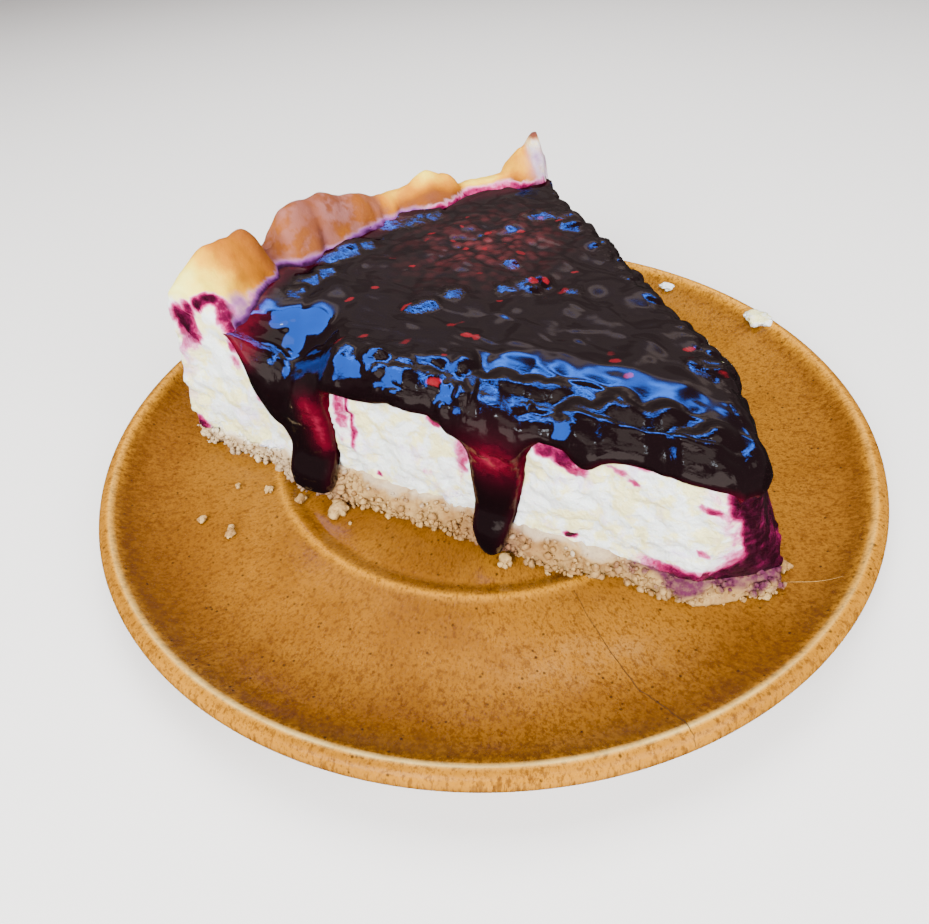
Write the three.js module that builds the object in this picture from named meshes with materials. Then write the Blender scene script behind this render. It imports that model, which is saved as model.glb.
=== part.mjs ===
import * as THREE from "three";

// A slice of berry-topped cheesecake on a round stoneware plate.
// Millimetres, +Z up. The origin is the middle of the plate's foot, on the table, and the slice's
// wetter cut face looks towards -Y. The slice is an eighth of a cake baked in a 26 cm tin, cut a
// little wide, with its very tip broken off and worn round.
//
// From the table up: the plate, a base of pressed biscuit crumbs, the cheese filling, which stands
// up round the outside as a baked rim, and a thick berry topping that runs over both cuts.

// Plate.
const PLATE_RADIUS = 85;
const PLATE_HEIGHT = 12.9;
const PLATE_SEGMENTS = 60;
const LIP_RADIUS = 2.2;
const LIP_INNER_RADIUS = 81.4;
const WELL_RADIUS = 48;
const WELL_STEP_WIDTH = 4;
const WELL_FLOOR = 5.2;
const DECK = 6.5;
const DECK_RISE_START = 50;
const DECK_RISE = 5.4;
const DECK_RISE_POWER = 5;
const FOOT_RADIUS = 49.6;
const FOOT_WIDTH = 3;
const FOOT_HEIGHT = 2.3;

// Slice, in polar terms round the middle of the whole cake.
const CAKE_CENTRE = new THREE.Vector2(52.6, -62.6);
const CAKE_RADIUS = 130;
const TIP_RADIUS = 12.6;
const TIP_LEAN = 2.2;
const TIP_NEAR_CORNER = { foot: 8.4, top: 3.5 };
const TIP_FAR_CORNER = 22;
const NEAR_CUT = THREE.MathUtils.degToRad(151.2);
const FAR_CUT = THREE.MathUtils.degToRad(104.2);
const GAP = 0.3;

// Layers.
const CRUMB_BOTTOM = DECK + GAP;
const CRUMB_TOP = 12.6;
const FILLING_BOTTOM = CRUMB_TOP + GAP;
const FILLING_TOP = 35.6;
const FILLING_RISE = 1;
const TOPPING_TOP = 40.6;
const TOPPING_RISE = 2.4;
const TOPPING_REACH = 0.36;
const RISE_LENGTH = 120;

// Baked rim, from the far cut round to the near one: the direction from the cake's middle, the
// height of the crest there, and the radius at which the crest's inner side comes down.
const RIM_CREST_RADIUS = 126.2;
const RIM_SHOULDER = 46;
const RIM_FLARE = 6.6;
const CRUMB_FLARE = 5.4;
const RIM_CREST = [
  { at: 103.4, height: 44.5, foot: 120.0 },
  { at: 104.2, height: 48.6, foot: 120.0 },
  { at: 105.4, height: 54.4, foot: 119.5 },
  { at: 107.1, height: 51.4, foot: 119.5 },
  { at: 109.4, height: 45.4, foot: 120.5 },
  { at: 114.6, height: 45.2, foot: 120.5 },
  { at: 117.2, height: 49.0, foot: 119.5 },
  { at: 119.4, height: 50.8, foot: 119.0 },
  { at: 122.6, height: 48.4, foot: 120.0 },
  { at: 125.5, height: 48.6, foot: 120.0 },
  { at: 129.4, height: 51.6, foot: 119.0 },
  { at: 133.6, height: 53.8, foot: 117.6 },
  { at: 137.4, height: 53.6, foot: 118.0 },
  { at: 140.3, height: 48.2, foot: 120.0 },
  { at: 142.8, height: 53.4, foot: 117.5 },
  { at: 147.0, height: 53.8, foot: 113.0 },
  { at: 149.8, height: 51.6, foot: 112.0 },
  { at: 151.6, height: 48.9, foot: 112.0 },
];

// Where the topping ends on the near cut: the height of its lower edge, and the lobes and runs
// that hang below that, each by its place along the cut, its half width and how low it reaches.
const NEAR_EDGE = 35.4;
const NEAR_RUNS = [
  { at: 42.5, half: 4.2, low: 33, square: 2, thick: 2.3 },
  { at: 58.8, half: 6.8, low: 6.4, square: 4, thick: 2.6 },
  { at: 68, half: 5, low: 32.4, square: 2, thick: 2.3 },
  { at: 88, half: 6.5, low: 33, square: 2, thick: 2.3 },
  { at: 101.2, half: 5.8, low: 7.6, square: 5, thick: 2.6 },
  { at: 109.5, half: 9, low: 23.5, square: 3, thick: 2.3 },
];
const FAR_EDGE = 34.6;
const FAR_RUNS = [
  { at: 48, half: 6, low: 24.5, square: 2, thick: 1.8 },
  { at: 71, half: 5.5, low: 30.5, square: 2, thick: 1.8 },
  { at: 93, half: 6.5, low: 18, square: 2, thick: 1.8 },
  { at: 112, half: 6, low: 31, square: 2, thick: 1.8 },
];
const TIP_EDGE = 33.5;

// The place on the near cut where the topping has sunk and pours over.
const SPILL = { at: 105, wide: 8, deep: 9, reach: 16 };

// Where the topping has slid towards the near cut: by the place along the cut, how far in the slope
// starts and how far it has dropped at the cut.
const SLUMP_POWER = 1.3;
const SLUMP = [
  { at: 10, wide: 6, deep: 1.5 },
  { at: 17, wide: 7, deep: 2.4 },
  { at: 21, wide: 12.5, deep: 3.6 },
  { at: 28, wide: 15, deep: 4.2 },
  { at: 40, wide: 17, deep: 4.6 },
  { at: 57, wide: 16.5, deep: 4.4 },
  { at: 64, wide: 12.8, deep: 3.6 },
  { at: 71, wide: 10.4, deep: 2.8 },
  { at: 78, wide: 8, deep: 2 },
  { at: 94, wide: 6, deep: 1.2 },
  { at: 110, wide: 5, deep: 0.8 },
  { at: 130, wide: 5, deep: 0.5 },
];

const LAP_THICKNESS = 1.9;
const SHOULDER_WIDTH = 5;
const SHOULDER_HEIGHT = 6;
const SHOULDER_BULGE = 2.6;
const TIP_SHOULDER = 3.5;

// Divisions: outwards and across each upper face, and down each wall.
const FILLING_PARTS = [30, 36];
const FILLING_LEVELS = [0.75, 0.5, 0.25, 0];
const TOPPING_PARTS = [38, 20];
const LAP_STEPS = [0.12, 0.25, 0.38, 0.52, 0.68, 0.84, 1];
const INSIDE_STEPS = [0, 0.4, 0.8];
const TOPPING_MIDDLE = 78;

// Cooked berries under the topping's skin, and those heaped on its slope along the near cut.
const BERRY_COUNT = 30;
const BERRY_RADIUS = 5;
const BERRY_HEIGHT = 0.8;
const SLOPE_BERRY_COUNT = 16;
const SLOPE_BERRY_RADIUS = 3.6;
const SLOPE_BERRY_HEIGHT = 1.3;

const clamp01 = (x) => Math.min(1, Math.max(0, x));
const lerp = (a, b, t) => a + (b - a) * t;
const fraction = (x) => x - Math.floor(x);
const bell = (x, middle, width) => Math.exp(-(((x - middle) / width) ** 2));

function smooth(from, to, x) {
  const t = clamp01((x - from) / (to - from));
  return t * t * (3 - 2 * t);
}

// Smooth noise from -1 to 1 with one hill or hollow for each unit square.
function noise(x, y, seed) {
  const corner = (i, j) => fraction(Math.sin(i * 127.1 + j * 311.7 + seed * 74.7) * 43758.5453);
  const [i, j] = [Math.floor(x), Math.floor(y)];
  const [s, t] = [smooth(0, 1, x - i), smooth(0, 1, y - j)];
  const low = lerp(corner(i, j), corner(i + 1, j), s);
  const high = lerp(corner(i, j + 1), corner(i + 1, j + 1), s);
  return 2 * lerp(low, high, t) - 1;
}

// The plate's upper face: a sunk well, a ring where it steps up, and a deck that curls up at the edge.
function deckHeight(r) {
  const step = smooth(WELL_RADIUS - WELL_STEP_WIDTH, WELL_RADIUS, r);
  const out = clamp01((r - DECK_RISE_START) / (LIP_INNER_RADIUS - DECK_RISE_START));
  return lerp(WELL_FLOOR, DECK, step) + DECK_RISE * out ** DECK_RISE_POWER;
}

// How far the crumbs' underside stands from its height on the level deck. It follows the deck where
// that rises, and sags into the well from a little inside the well's ring.
function lift(x, y) {
  const r = Math.hypot(x, y);
  return deckHeight(r < WELL_RADIUS ? Math.min(r + 1.5, WELL_RADIUS) : r) - DECK;
}

// A point of the slice. `out` moves it square to its own radius.
function slicePoint(rho, angle, z, out = 0) {
  const [c, s] = [Math.cos(angle), Math.sin(angle)];
  return new THREE.Vector3(CAKE_CENTRE.x + rho * c - out * s, CAKE_CENTRE.y + rho * s + out * c, z);
}

// Where the broken tip's wall stands. Its corner at the near cut is worn back most at the foot, and
// its corner at the far cut at the top, where the whole tip leans in too.
function tipRadius(angle, z) {
  const across = (NEAR_CUT - angle) / (NEAR_CUT - FAR_CUT);
  const up = clamp01((z - FILLING_BOTTOM) / (FILLING_TOP - FILLING_BOTTOM));
  const near = lerp(TIP_NEAR_CORNER.foot, TIP_NEAR_CORNER.top, up) * (1 - across) ** 3;
  return TIP_RADIUS + near + TIP_LEAN * up ** 2 + TIP_FAR_CORNER * up ** 1.5 * across ** 3;
}

// How far a point is from the near cut's plane.
const fromNearCut = (rho, angle) => rho * Math.sin(NEAR_CUT - angle);

function spillDepth(rho, angle) {
  const inward = 1 - smooth(0, SPILL.reach, fromNearCut(rho, angle));
  return SPILL.deep * bell(rho, SPILL.at, SPILL.wide) * inward;
}

function slumpDepth(rho, angle) {
  const along = rho * Math.cos(NEAR_CUT - angle);
  let i = 0;
  while (i < SLUMP.length - 2 && along > SLUMP[i + 1].at) i++;
  const [from, to] = [SLUMP[i], SLUMP[i + 1]];
  const t = clamp01((along - from.at) / (to.at - from.at));
  const share = clamp01(1 - fromNearCut(rho, angle) / lerp(from.wide, to.wide, t));
  return lerp(from.deep, to.deep, t) * share ** SLUMP_POWER;
}

// The rim's crest height and inner radius in a direction, eased from one listed place to the next.
function rimAt(angle) {
  const degrees = THREE.MathUtils.radToDeg(angle);
  let i = 0;
  while (i < RIM_CREST.length - 2 && degrees > RIM_CREST[i + 1].at) i++;
  const [from, to] = [RIM_CREST[i], RIM_CREST[i + 1]];
  const t = smooth(from.at, to.at, degrees);
  return { crest: lerp(from.height, to.height, t), foot: lerp(from.foot, to.foot, t) };
}

// The filling's upper face: level under the topping, then the rim's rounded bead.
function fillingTop(rho, angle) {
  const level = FILLING_TOP + (FILLING_RISE * rho) / RISE_LENGTH - spillDepth(rho, angle);
  const { crest, foot } = rimAt(angle);
  if (rho <= RIM_CREST_RADIUS) {
    return lerp(level, crest, smooth(foot, RIM_CREST_RADIUS, rho) ** 0.8);
  }
  const over = (rho - RIM_CREST_RADIUS) / (CAKE_RADIUS - RIM_CREST_RADIUS);
  const shoulder = Math.min(crest - 2, RIM_SHOULDER);
  return lerp(shoulder, crest, Math.sqrt(Math.max(0, 1 - over * over)));
}

// The radius where the topping meets the rim: a little way up the rim's inner side.
function toppingRadius(angle) {
  return lerp(rimAt(angle).foot, RIM_CREST_RADIUS, TOPPING_REACH);
}

// How far the cake's outer wall leans out at a height.
function flareAt(z) {
  return RIM_FLARE * clamp01((RIM_SHOULDER - z) / (RIM_SHOULDER - FILLING_BOTTOM)) ** 0.8;
}

function crownBerry(i) {
  const size = lerp(0.7, 1.15, fraction(0.5 + (i + 1) * 0.3819660113));
  return {
    rho: Math.sqrt(lerp(24 ** 2, 116 ** 2, fraction(0.5 + (i + 1) * 0.7548776662))),
    angle: lerp(FAR_CUT, NEAR_CUT, fraction(0.5 + (i + 1) * 0.569840291)),
    radius: BERRY_RADIUS * size,
    height: BERRY_HEIGHT * size,
  };
}

function slopeBerry(i) {
  const size = lerp(0.75, 1.2, fraction(0.5 + (i + 1) * 0.3819660113));
  const along = lerp(24, 92, i / (SLOPE_BERRY_COUNT - 1));
  const inward = lerp(4.5, 9.5, fraction(0.5 + (i + 1) * 0.7548776662)) * smooth(120, 60, along);
  return {
    rho: Math.hypot(along, inward),
    angle: NEAR_CUT - Math.atan2(inward, along),
    radius: SLOPE_BERRY_RADIUS * size,
    height: SLOPE_BERRY_HEIGHT * size,
  };
}

const berries = [
  ...Array.from({ length: BERRY_COUNT }, (_, i) => crownBerry(i)),
  ...Array.from({ length: SLOPE_BERRY_COUNT }, (_, i) => slopeBerry(i)),
];

// The topping's upper face: level, with soft waves and the berries' humps, and low at the tip and
// towards the near cut.
function toppingTop(rho, angle) {
  let z = TOPPING_TOP + (TOPPING_RISE * rho) / RISE_LENGTH;
  z -= spillDepth(rho, angle) + slumpDepth(rho, angle);
  z -= 2.2 * bell(rho, tipRadius(angle, FILLING_TOP) - 3, 8);
  z += 0.7 * noise(rho / 11, (angle * rho) / 11, 3);
  for (const b of berries) {
    const apart = Math.hypot(rho - b.rho, rho * (angle - b.angle)) / b.radius;
    if (apart < 1) z += b.height * (1 - apart * apart) ** 1.5;
  }
  return Math.max(z, toppingUnder(rho, angle) + 0.8);
}

// The topping's underside, a little clearer of the filling where that dips or starts to climb.
function toppingUnder(rho, angle) {
  const { foot } = rimAt(angle);
  const clear = 0.12 * spillDepth(rho, angle) + 0.5 * smooth(foot - 3, foot, rho);
  return fillingTop(rho, angle) + GAP + clear;
}

// The topping's lower edge on a cut, from its plain edge and its runs: its height and thickness.
function lowerEdge(rho, plain, runs) {
  const edge = { low: plain + 0.6 * noise(rho / 4, 0.5, plain), thick: LAP_THICKNESS };
  for (const run of runs) {
    const apart = Math.abs(rho - run.at) / run.half;
    const low = lerp(run.low, plain, apart ** run.square);
    if (apart < 1 && low < edge.low) {
      edge.low = low;
      edge.thick = run.thick * Math.sqrt(1 - 0.8 * apart * apart);
    }
  }
  return edge;
}

// Roughness of the cut cheese.
const cutRelief = (rho, z, seed) => 0.35 * noise(rho / 7, z / 7, seed);

// How far the pressed crumbs stand out from the cheese above them: they have spread in the middle.
function crumbBulge(rho) {
  return 0.3 + 2.3 * smooth(30, 39, rho) * smooth(117, 107, rho);
}

// A closed solid from a grid of parts[0] by parts[1] faces on top, rings hung from the grid's border
// one below the other, and the same grid again underneath, or a single point there.
function cappedSolid(parts, top, rings, under) {
  const [rows, columns] = parts;
  const positions = [];
  const index = [];
  const put = (p) => positions.push(p.x, p.y, p.z) / 3 - 1;
  const grid = (height) => Array.from({ length: rows + 1 }, (_, i) => (
    Array.from({ length: columns + 1 }, (_, j) => put(height(i, j)))
  ));
  const border = [];
  for (let i = 0; i < rows; i++) border.push([i, 0]);
  for (let j = 0; j < columns; j++) border.push([rows, j]);
  for (let i = rows; i > 0; i--) border.push([i, columns]);
  for (let j = columns; j > 0; j--) border.push([0, j]);
  const quad = (a, b, c, d) => index.push(a, b, c, a, c, d);

  const upper = grid(top);
  const loops = [border.map(([i, j]) => upper[i][j])];
  for (const ring of rings) loops.push(border.map(([i, j]) => put(ring(i, j))));
  if (typeof under === "function") {
    const lower = grid(under);
    loops.push(border.map(([i, j]) => lower[i][j]));
    eachCell(parts, (i, j) => quad(lower[i][j], lower[i][j + 1], lower[i + 1][j + 1], lower[i + 1][j]));
  } else {
    const pole = put(under);
    const last = loops[loops.length - 1];
    last.forEach((a, k) => index.push(a, pole, last[(k + 1) % last.length]));
  }
  eachCell(parts, (i, j) => quad(upper[i][j], upper[i + 1][j], upper[i + 1][j + 1], upper[i][j + 1]));
  for (let level = 1; level < loops.length; level++) {
    const [above, below] = [loops[level - 1], loops[level]];
    above.forEach((a, k) => {
      const next = (k + 1) % above.length;
      quad(a, below[k], below[next], above[next]);
    });
  }
  return closedGeometry(positions, index);
}

function eachCell([rows, columns], visit) {
  for (let i = 0; i < rows; i++) {
    for (let j = 0; j < columns; j++) visit(i, j);
  }
}

function closedGeometry(positions, index) {
  const geometry = new THREE.BufferGeometry();
  geometry.setAttribute("position", new THREE.Float32BufferAttribute(positions, 3));
  geometry.setIndex(index);
  geometry.computeVertexNormals();
  return geometry;
}

function plateGeometry() {
  const lipMiddle = new THREE.Vector2(PLATE_RADIUS - LIP_RADIUS, PLATE_HEIGHT - LIP_RADIUS);
  const top = [0, 30, 43.6, 45, 46, 47, 48.4, 58, 66, 71, 75, 78, 80, LIP_INNER_RADIUS];
  const lip = [100, 75, 50, 20, -15, -50];
  const profile = top.map((r) => new THREE.Vector2(r, deckHeight(r)));
  for (const degrees of lip) {
    const turn = THREE.MathUtils.degToRad(degrees);
    const arm = new THREE.Vector2(Math.cos(turn), Math.sin(turn)).multiplyScalar(LIP_RADIUS);
    profile.push(arm.add(lipMiddle));
  }
  profile.push(
    new THREE.Vector2(78, 6.2),
    new THREE.Vector2(70, 4.1),
    new THREE.Vector2(60, 3.2),
    new THREE.Vector2(FOOT_RADIUS + 1.4, FOOT_HEIGHT + 0.5),
    new THREE.Vector2(FOOT_RADIUS + 0.3, 0.5),
    new THREE.Vector2(FOOT_RADIUS - 0.4, 0),
    new THREE.Vector2(FOOT_RADIUS - FOOT_WIDTH + 0.4, 0),
    new THREE.Vector2(FOOT_RADIUS - FOOT_WIDTH - 0.3, 0.5),
    new THREE.Vector2(FOOT_RADIUS - FOOT_WIDTH - 1.2, FOOT_HEIGHT),
    new THREE.Vector2(0, FOOT_HEIGHT),
  );
  const turned = new THREE.LatheGeometry(profile.reverse(), PLATE_SEGMENTS);
  return turned.rotateX(Math.PI / 2);
}

// The wedge seen from above, as points from the far cut's tip, anticlockwise. It reaches as far out
// as the flared foot of the rim.
function wedgeOutline(spacing) {
  const outer = CAKE_RADIUS + CRUMB_FLARE;
  const at = (rho, angle) => {
    const p = slicePoint(rho, angle, 0);
    return new THREE.Vector2(p.x, p.y);
  };
  const alongTip = (t) => at(tipRadius(lerp(NEAR_CUT, FAR_CUT, t), 0), lerp(NEAR_CUT, FAR_CUT, t));
  const [a, b, c, d] = [alongTip(1), at(outer, FAR_CUT), at(outer, NEAR_CUT), alongTip(0)];
  const points = [];
  const run = (length, place) => {
    const steps = Math.round(length / spacing);
    for (let i = 0; i < steps; i++) points.push(place(i / steps));
  };
  run(a.distanceTo(b), (t) => a.clone().lerp(b, t));
  run(outer * (NEAR_CUT - FAR_CUT), (t) => at(outer, lerp(FAR_CUT, NEAR_CUT, t)));
  run(c.distanceTo(d), (t) => c.clone().lerp(d, t));
  run(d.distanceTo(a), alongTip);
  return points;
}

// The crumb base: the outline stacked level by level, each level pushed in and out by the crumbs.
function crumbGeometry() {
  const levels = [0, 0.22, 0.5, 0.8, 1];
  const outline = wedgeOutline(3.1);
  const count = outline.length;
  const positions = [];
  for (const level of levels) {
    outline.forEach((p, i) => {
      const before = outline[(i + count - 1) % count];
      const after = outline[(i + 1) % count];
      const normal = new THREE.Vector2(after.y - before.y, before.x - after.x).normalize();
      const arm = p.clone().sub(CAKE_CENTRE);
      const onNearCut = smooth(8, 2, fromNearCut(arm.length(), arm.angle()));
      const rho = arm.length();
      const wet = NEAR_RUNS.some((r) => r.low < CRUMB_TOP && Math.abs(rho - r.at) < r.half + 1);
      const grain = wet && onNearCut > 0 ? 0 : 1.1 * noise(i / 1.3, level * 2.3, 11);
      const rounded = -0.9 * (2 * level - 0.8) ** 2;
      const out = lerp(0.9, crumbBulge(arm.length()), onNearCut) + grain + rounded;
      const foot = p.clone().addScaledVector(normal, out);
      const z = lerp(CRUMB_BOTTOM + lift(foot.x, foot.y), CRUMB_TOP, level);
      const waver = level > 0 && level < 1 ? 0.4 * noise(i / 2, level * 5, 12) : 0;
      positions.push(foot.x, foot.y, z + waver);
    });
  }
  const index = [];
  const middle = slicePoint(TOPPING_MIDDLE, (NEAR_CUT + FAR_CUT) / 2, CRUMB_BOTTOM);
  positions.push(middle.x, middle.y, CRUMB_BOTTOM, middle.x, middle.y, CRUMB_TOP);
  const last = (levels.length - 1) * count;
  const [under, over] = [levels.length * count, levels.length * count + 1];
  for (let i = 0; i < count; i++) {
    const next = (i + 1) % count;
    index.push(under, next, i, over, last + i, last + next);
    for (let level = 0; level < levels.length - 1; level++) {
      const [a, b] = [level * count + i, level * count + next];
      index.push(a, b, b + count, a, b + count, a + count);
    }
  }
  return closedGeometry(positions, index);
}

// The filling: half its radial divisions are spent on the rim.
function fillingGeometry() {
  const [rows, columns] = FILLING_PARTS;
  const rimStart = RIM_CREST[RIM_CREST.length - 1].foot - 2;
  const at = (i, j, level) => {
    const a = (2 * i) / rows - 1;
    const angle = lerp(FAR_CUT, NEAR_CUT, j / columns);
    const place = (tip) => (a < 0 ? lerp(tip, rimStart, a + 1) : lerp(rimStart, CAKE_RADIUS, a));
    const top = fillingTop(place(tipRadius(angle, FILLING_TOP)), angle);
    const z = lerp(FILLING_BOTTOM, top, level);
    const cut = j === 0 ? -1 : j === columns ? 1 : 0;
    const inside = level > 0 && level < 1;
    const rho = place(tipRadius(angle, z)) + clamp01(a) ** 2 * flareAt(z);
    const wave = inside && i === rows ? 0.7 * noise(angle * 20, z / 9, 6) : 0;
    return slicePoint(rho + wave, angle, z, inside ? cut * cutRelief(rho, z, cut) : 0);
  };
  const rings = FILLING_LEVELS.map((level) => (i, j) => at(i, j, level));
  const middle = slicePoint(TOPPING_MIDDLE, (NEAR_CUT + FAR_CUT) / 2, FILLING_BOTTOM);
  return cappedSolid(FILLING_PARTS, (i, j) => at(i, j, 1), rings, middle);
}

// Where the topping stands over the filling's edge: the wall below it at any height, the way out from
// there, and the lap's lower edge and thickness. Along the rim there is no lap.
function toppingEdge(i, j) {
  const [rows, columns] = TOPPING_PARTS;
  const angle = lerp(FAR_CUT, NEAR_CUT, j / columns);
  const rho = lerp(tipRadius(angle, FILLING_TOP), toppingRadius(angle), i / rows);
  const wall = (z) => slicePoint(i === 0 ? tipRadius(angle, z) : rho, angle, z);
  const across = new THREE.Vector2(-Math.sin(angle), Math.cos(angle));
  const out = new THREE.Vector2();
  let edge = { low: TIP_EDGE, thick: LAP_THICKNESS };
  let bulge = 1.2;
  let swell = 0.5;
  if (i === 0) {
    const turn = 0.02;
    const [p, q] = [-turn, turn].map((d) => slicePoint(tipRadius(angle + d, FILLING_TOP), angle + d, 0));
    out.set(p.y - q.y, q.x - p.x).normalize();
  }
  if (j === columns) {
    out.add(across).normalize();
    edge = lowerEdge(rho, NEAR_EDGE, NEAR_RUNS);
    bulge = crumbBulge(rho) + 0.6;
    swell = lerp(0.5, 1, smooth(14, 30, rho)) * (1 + 0.3 * noise(rho / 5, 0.5, 21));
  } else if (j === 0) {
    out.sub(across).normalize();
    edge = lowerEdge(rho, FAR_EDGE, FAR_RUNS);
    bulge = 1.4;
  }
  return { rho, angle, wall, out, bulge, swell, ...edge };
}

// The topping's inset crown, from which its shoulder falls. The inset dies out at the rim.
function toppingCrown(i, j) {
  const [rows, columns] = TOPPING_PARTS;
  const middle = lerp(FAR_CUT, NEAR_CUT, j / columns);
  const rho = lerp(tipRadius(middle, FILLING_TOP) + TIP_SHOULDER, toppingRadius(middle), i / rows);
  const inset = (Math.min(SHOULDER_WIDTH, 0.25 * rho) / rho) * smooth(rows, rows - 4, i);
  const angle = lerp(FAR_CUT + inset, NEAR_CUT - inset, j / columns);
  return slicePoint(rho, angle, toppingTop(rho, angle));
}

// A point of the shoulder and lap, from s = 0 at the crown to s = 1 at the lower edge.
function lapPoint(i, j, s) {
  const crown = toppingCrown(i, j);
  const { rho, angle, wall, out, low, thick, bulge, swell } = toppingEdge(i, j);
  const under = toppingUnder(rho, angle);
  if (out.length() === 0) return crown.clone().setZ(lerp(crown.z, under + 0.4, s));
  const fade = smooth(toppingRadius(angle), toppingRadius(angle) - 7, rho);
  const edge = lerp(under + 0.4, Math.min(low, under - 1), fade);
  const z = lerp(crown.z, edge, s ** 1.4);
  const depth = crown.z - z;
  const round = Math.max(s ** 3, Math.sqrt(1 - (1 - clamp01(depth / SHOULDER_HEIGHT)) ** 2));
  const hanging = lerp(SHOULDER_BULGE * swell, thick, smooth(6, 14, depth)) * lerp(1, 0.5, s ** 6);
  const reach = backing(z, bulge) + lerp(0.7, hanging, fade);
  const p = wall(z);
  p.set(p.x + out.x * reach, p.y + out.y * reach, z);
  return new THREE.Vector3(lerp(crown.x, p.x, round), lerp(crown.y, p.y, round), z);
}

// How far the lap's inner face keeps off the wall behind it: clear of the cut, then of the crumbs.
function backing(z, bulge) {
  return 0.35 + GAP + bulge * smooth(CRUMB_TOP + 5, CRUMB_TOP - 1, z);
}

// A point of the lap's inner face, from s = 0 at the lower edge to s = 1 under the topping.
function lapInside(i, j, s) {
  const { rho, angle, wall, out, low, bulge } = toppingEdge(i, j);
  const under = toppingUnder(rho, angle);
  const fade = smooth(toppingRadius(angle), toppingRadius(angle) - 7, rho);
  const edge = lerp(under + 0.4, Math.min(low, under - 1), fade);
  const z = lerp(edge, under, s);
  const p = wall(z);
  const reach = out.length() * backing(z, bulge);
  return p.set(p.x + out.x * reach, p.y + out.y * reach, z);
}

// The topping: its upper face, a shoulder and lap over each cut and the tip, and its underside.
function toppingGeometry() {
  const [rows, columns] = TOPPING_PARTS;
  const under = (i, j) => {
    const angle = lerp(FAR_CUT, NEAR_CUT, j / columns);
    const rho = lerp(tipRadius(angle, FILLING_TOP), toppingRadius(angle), i / rows);
    return slicePoint(rho, angle, toppingUnder(rho, angle));
  };
  const rings = [
    ...LAP_STEPS.map((s) => (i, j) => lapPoint(i, j, s)),
    ...INSIDE_STEPS.map((s) => (i, j) => lapInside(i, j, s)),
  ];
  return cappedSolid(TOPPING_PARTS, toppingCrown, rings, under);
}

function piece(name, geometry, color, roughness) {
  const material = new THREE.MeshStandardMaterial({ color, roughness, metalness: 0, flatShading: true });
  const mesh = new THREE.Mesh(geometry, material);
  mesh.name = name;
  return mesh;
}

const sliceOnPlate = new THREE.Group();
sliceOnPlate.add(
  piece("plate", plateGeometry(), 0xb5791f, 0.25),
  piece("crumb_base", crumbGeometry(), 0xd9b98c, 0.9),
  piece("cheese_filling", fillingGeometry(), 0xf6f1e0, 0.6),
  piece("berry_topping", toppingGeometry(), 0x2a0a18, 0.12),
);

export default sliceOnPlate;
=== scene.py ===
"""A slice of berry-topped cheesecake on a round stoneware plate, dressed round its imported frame.

Every length inside the classes is in millimetres in the frame of the solids: +Z up, the origin in
the middle of the plate's foot, the wetter cut face towards -Y. ``mesh_object`` turns millimetres
into metres.
"""

import functools
import itertools
import logging
import math
from dataclasses import dataclass, field
from enum import Enum
from typing import Callable, Sequence, Union

import bpy
import numpy as np
from mathutils import Matrix


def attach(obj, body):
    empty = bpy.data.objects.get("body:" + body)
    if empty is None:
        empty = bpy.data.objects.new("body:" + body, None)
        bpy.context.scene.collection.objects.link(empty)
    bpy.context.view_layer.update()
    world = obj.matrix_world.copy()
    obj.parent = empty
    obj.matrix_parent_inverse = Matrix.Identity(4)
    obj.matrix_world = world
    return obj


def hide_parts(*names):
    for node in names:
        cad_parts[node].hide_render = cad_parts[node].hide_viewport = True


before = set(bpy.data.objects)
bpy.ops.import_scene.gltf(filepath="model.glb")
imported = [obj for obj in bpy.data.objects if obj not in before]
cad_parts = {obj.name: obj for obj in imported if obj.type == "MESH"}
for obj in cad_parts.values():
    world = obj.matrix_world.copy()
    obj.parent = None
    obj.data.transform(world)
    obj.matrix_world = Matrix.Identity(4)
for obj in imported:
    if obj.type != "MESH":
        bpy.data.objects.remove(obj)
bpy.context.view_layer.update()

Array = np.ndarray
Number = Union[float, Array]
Socket = bpy.types.NodeSocket
Value = Union[float, tuple, bpy.types.NodeSocket]
LOG = logging.getLogger("cheesecake")
MM = 0.001
BODY = "root"


# Plain functions on whole arrays.


def lerp(a: Number, b: Number, t: Number) -> Number:
    """The value a share t of the way from a to b."""
    return a + (b - a) * t


def smooth(start: Number, stop: Number, x: Number) -> Number:
    """An S-shaped step from 0 at start to 1 at stop: 3t^2 - 2t^3 of the clamped share t."""
    t = np.clip((np.asarray(x, float) - start) / (stop - start), 0.0, 1.0)
    return t * t * (3.0 - 2.0 * t)


def bell(x: Number, middle: Number, width: float) -> Number:
    """A Gaussian hump of height 1: e to the power of minus the square of (x - middle) / width."""
    return np.exp(-(((x - middle) / width) ** 2))


def dome(x: Number) -> Number:
    """The height of a half circle of radius 1 at a distance x from its middle, 0 beyond it."""
    return np.sqrt(np.clip(1 - x ** 2, 0, 1))


def fraction(x: Number) -> Number:
    """The part of x after the decimal point."""
    return x - np.floor(x)


def spread(index: Array, ratio: float) -> Array:
    """Numbers from 0 to 1 spread evenly: the fraction of a half plus (index + 1) times the ratio."""
    return fraction(0.5 + (index + 1) * ratio)


def slanted(points: Array, cosine: float, sine: float, stretch: Sequence[float]) -> Array:
    """Points turned about the third axis, then stretched along each of the turned axes."""
    return points @ np.array([[cosine, sine, 0], [-sine, cosine, 0], [0, 0, 1.0]]) * np.array(stretch)


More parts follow.
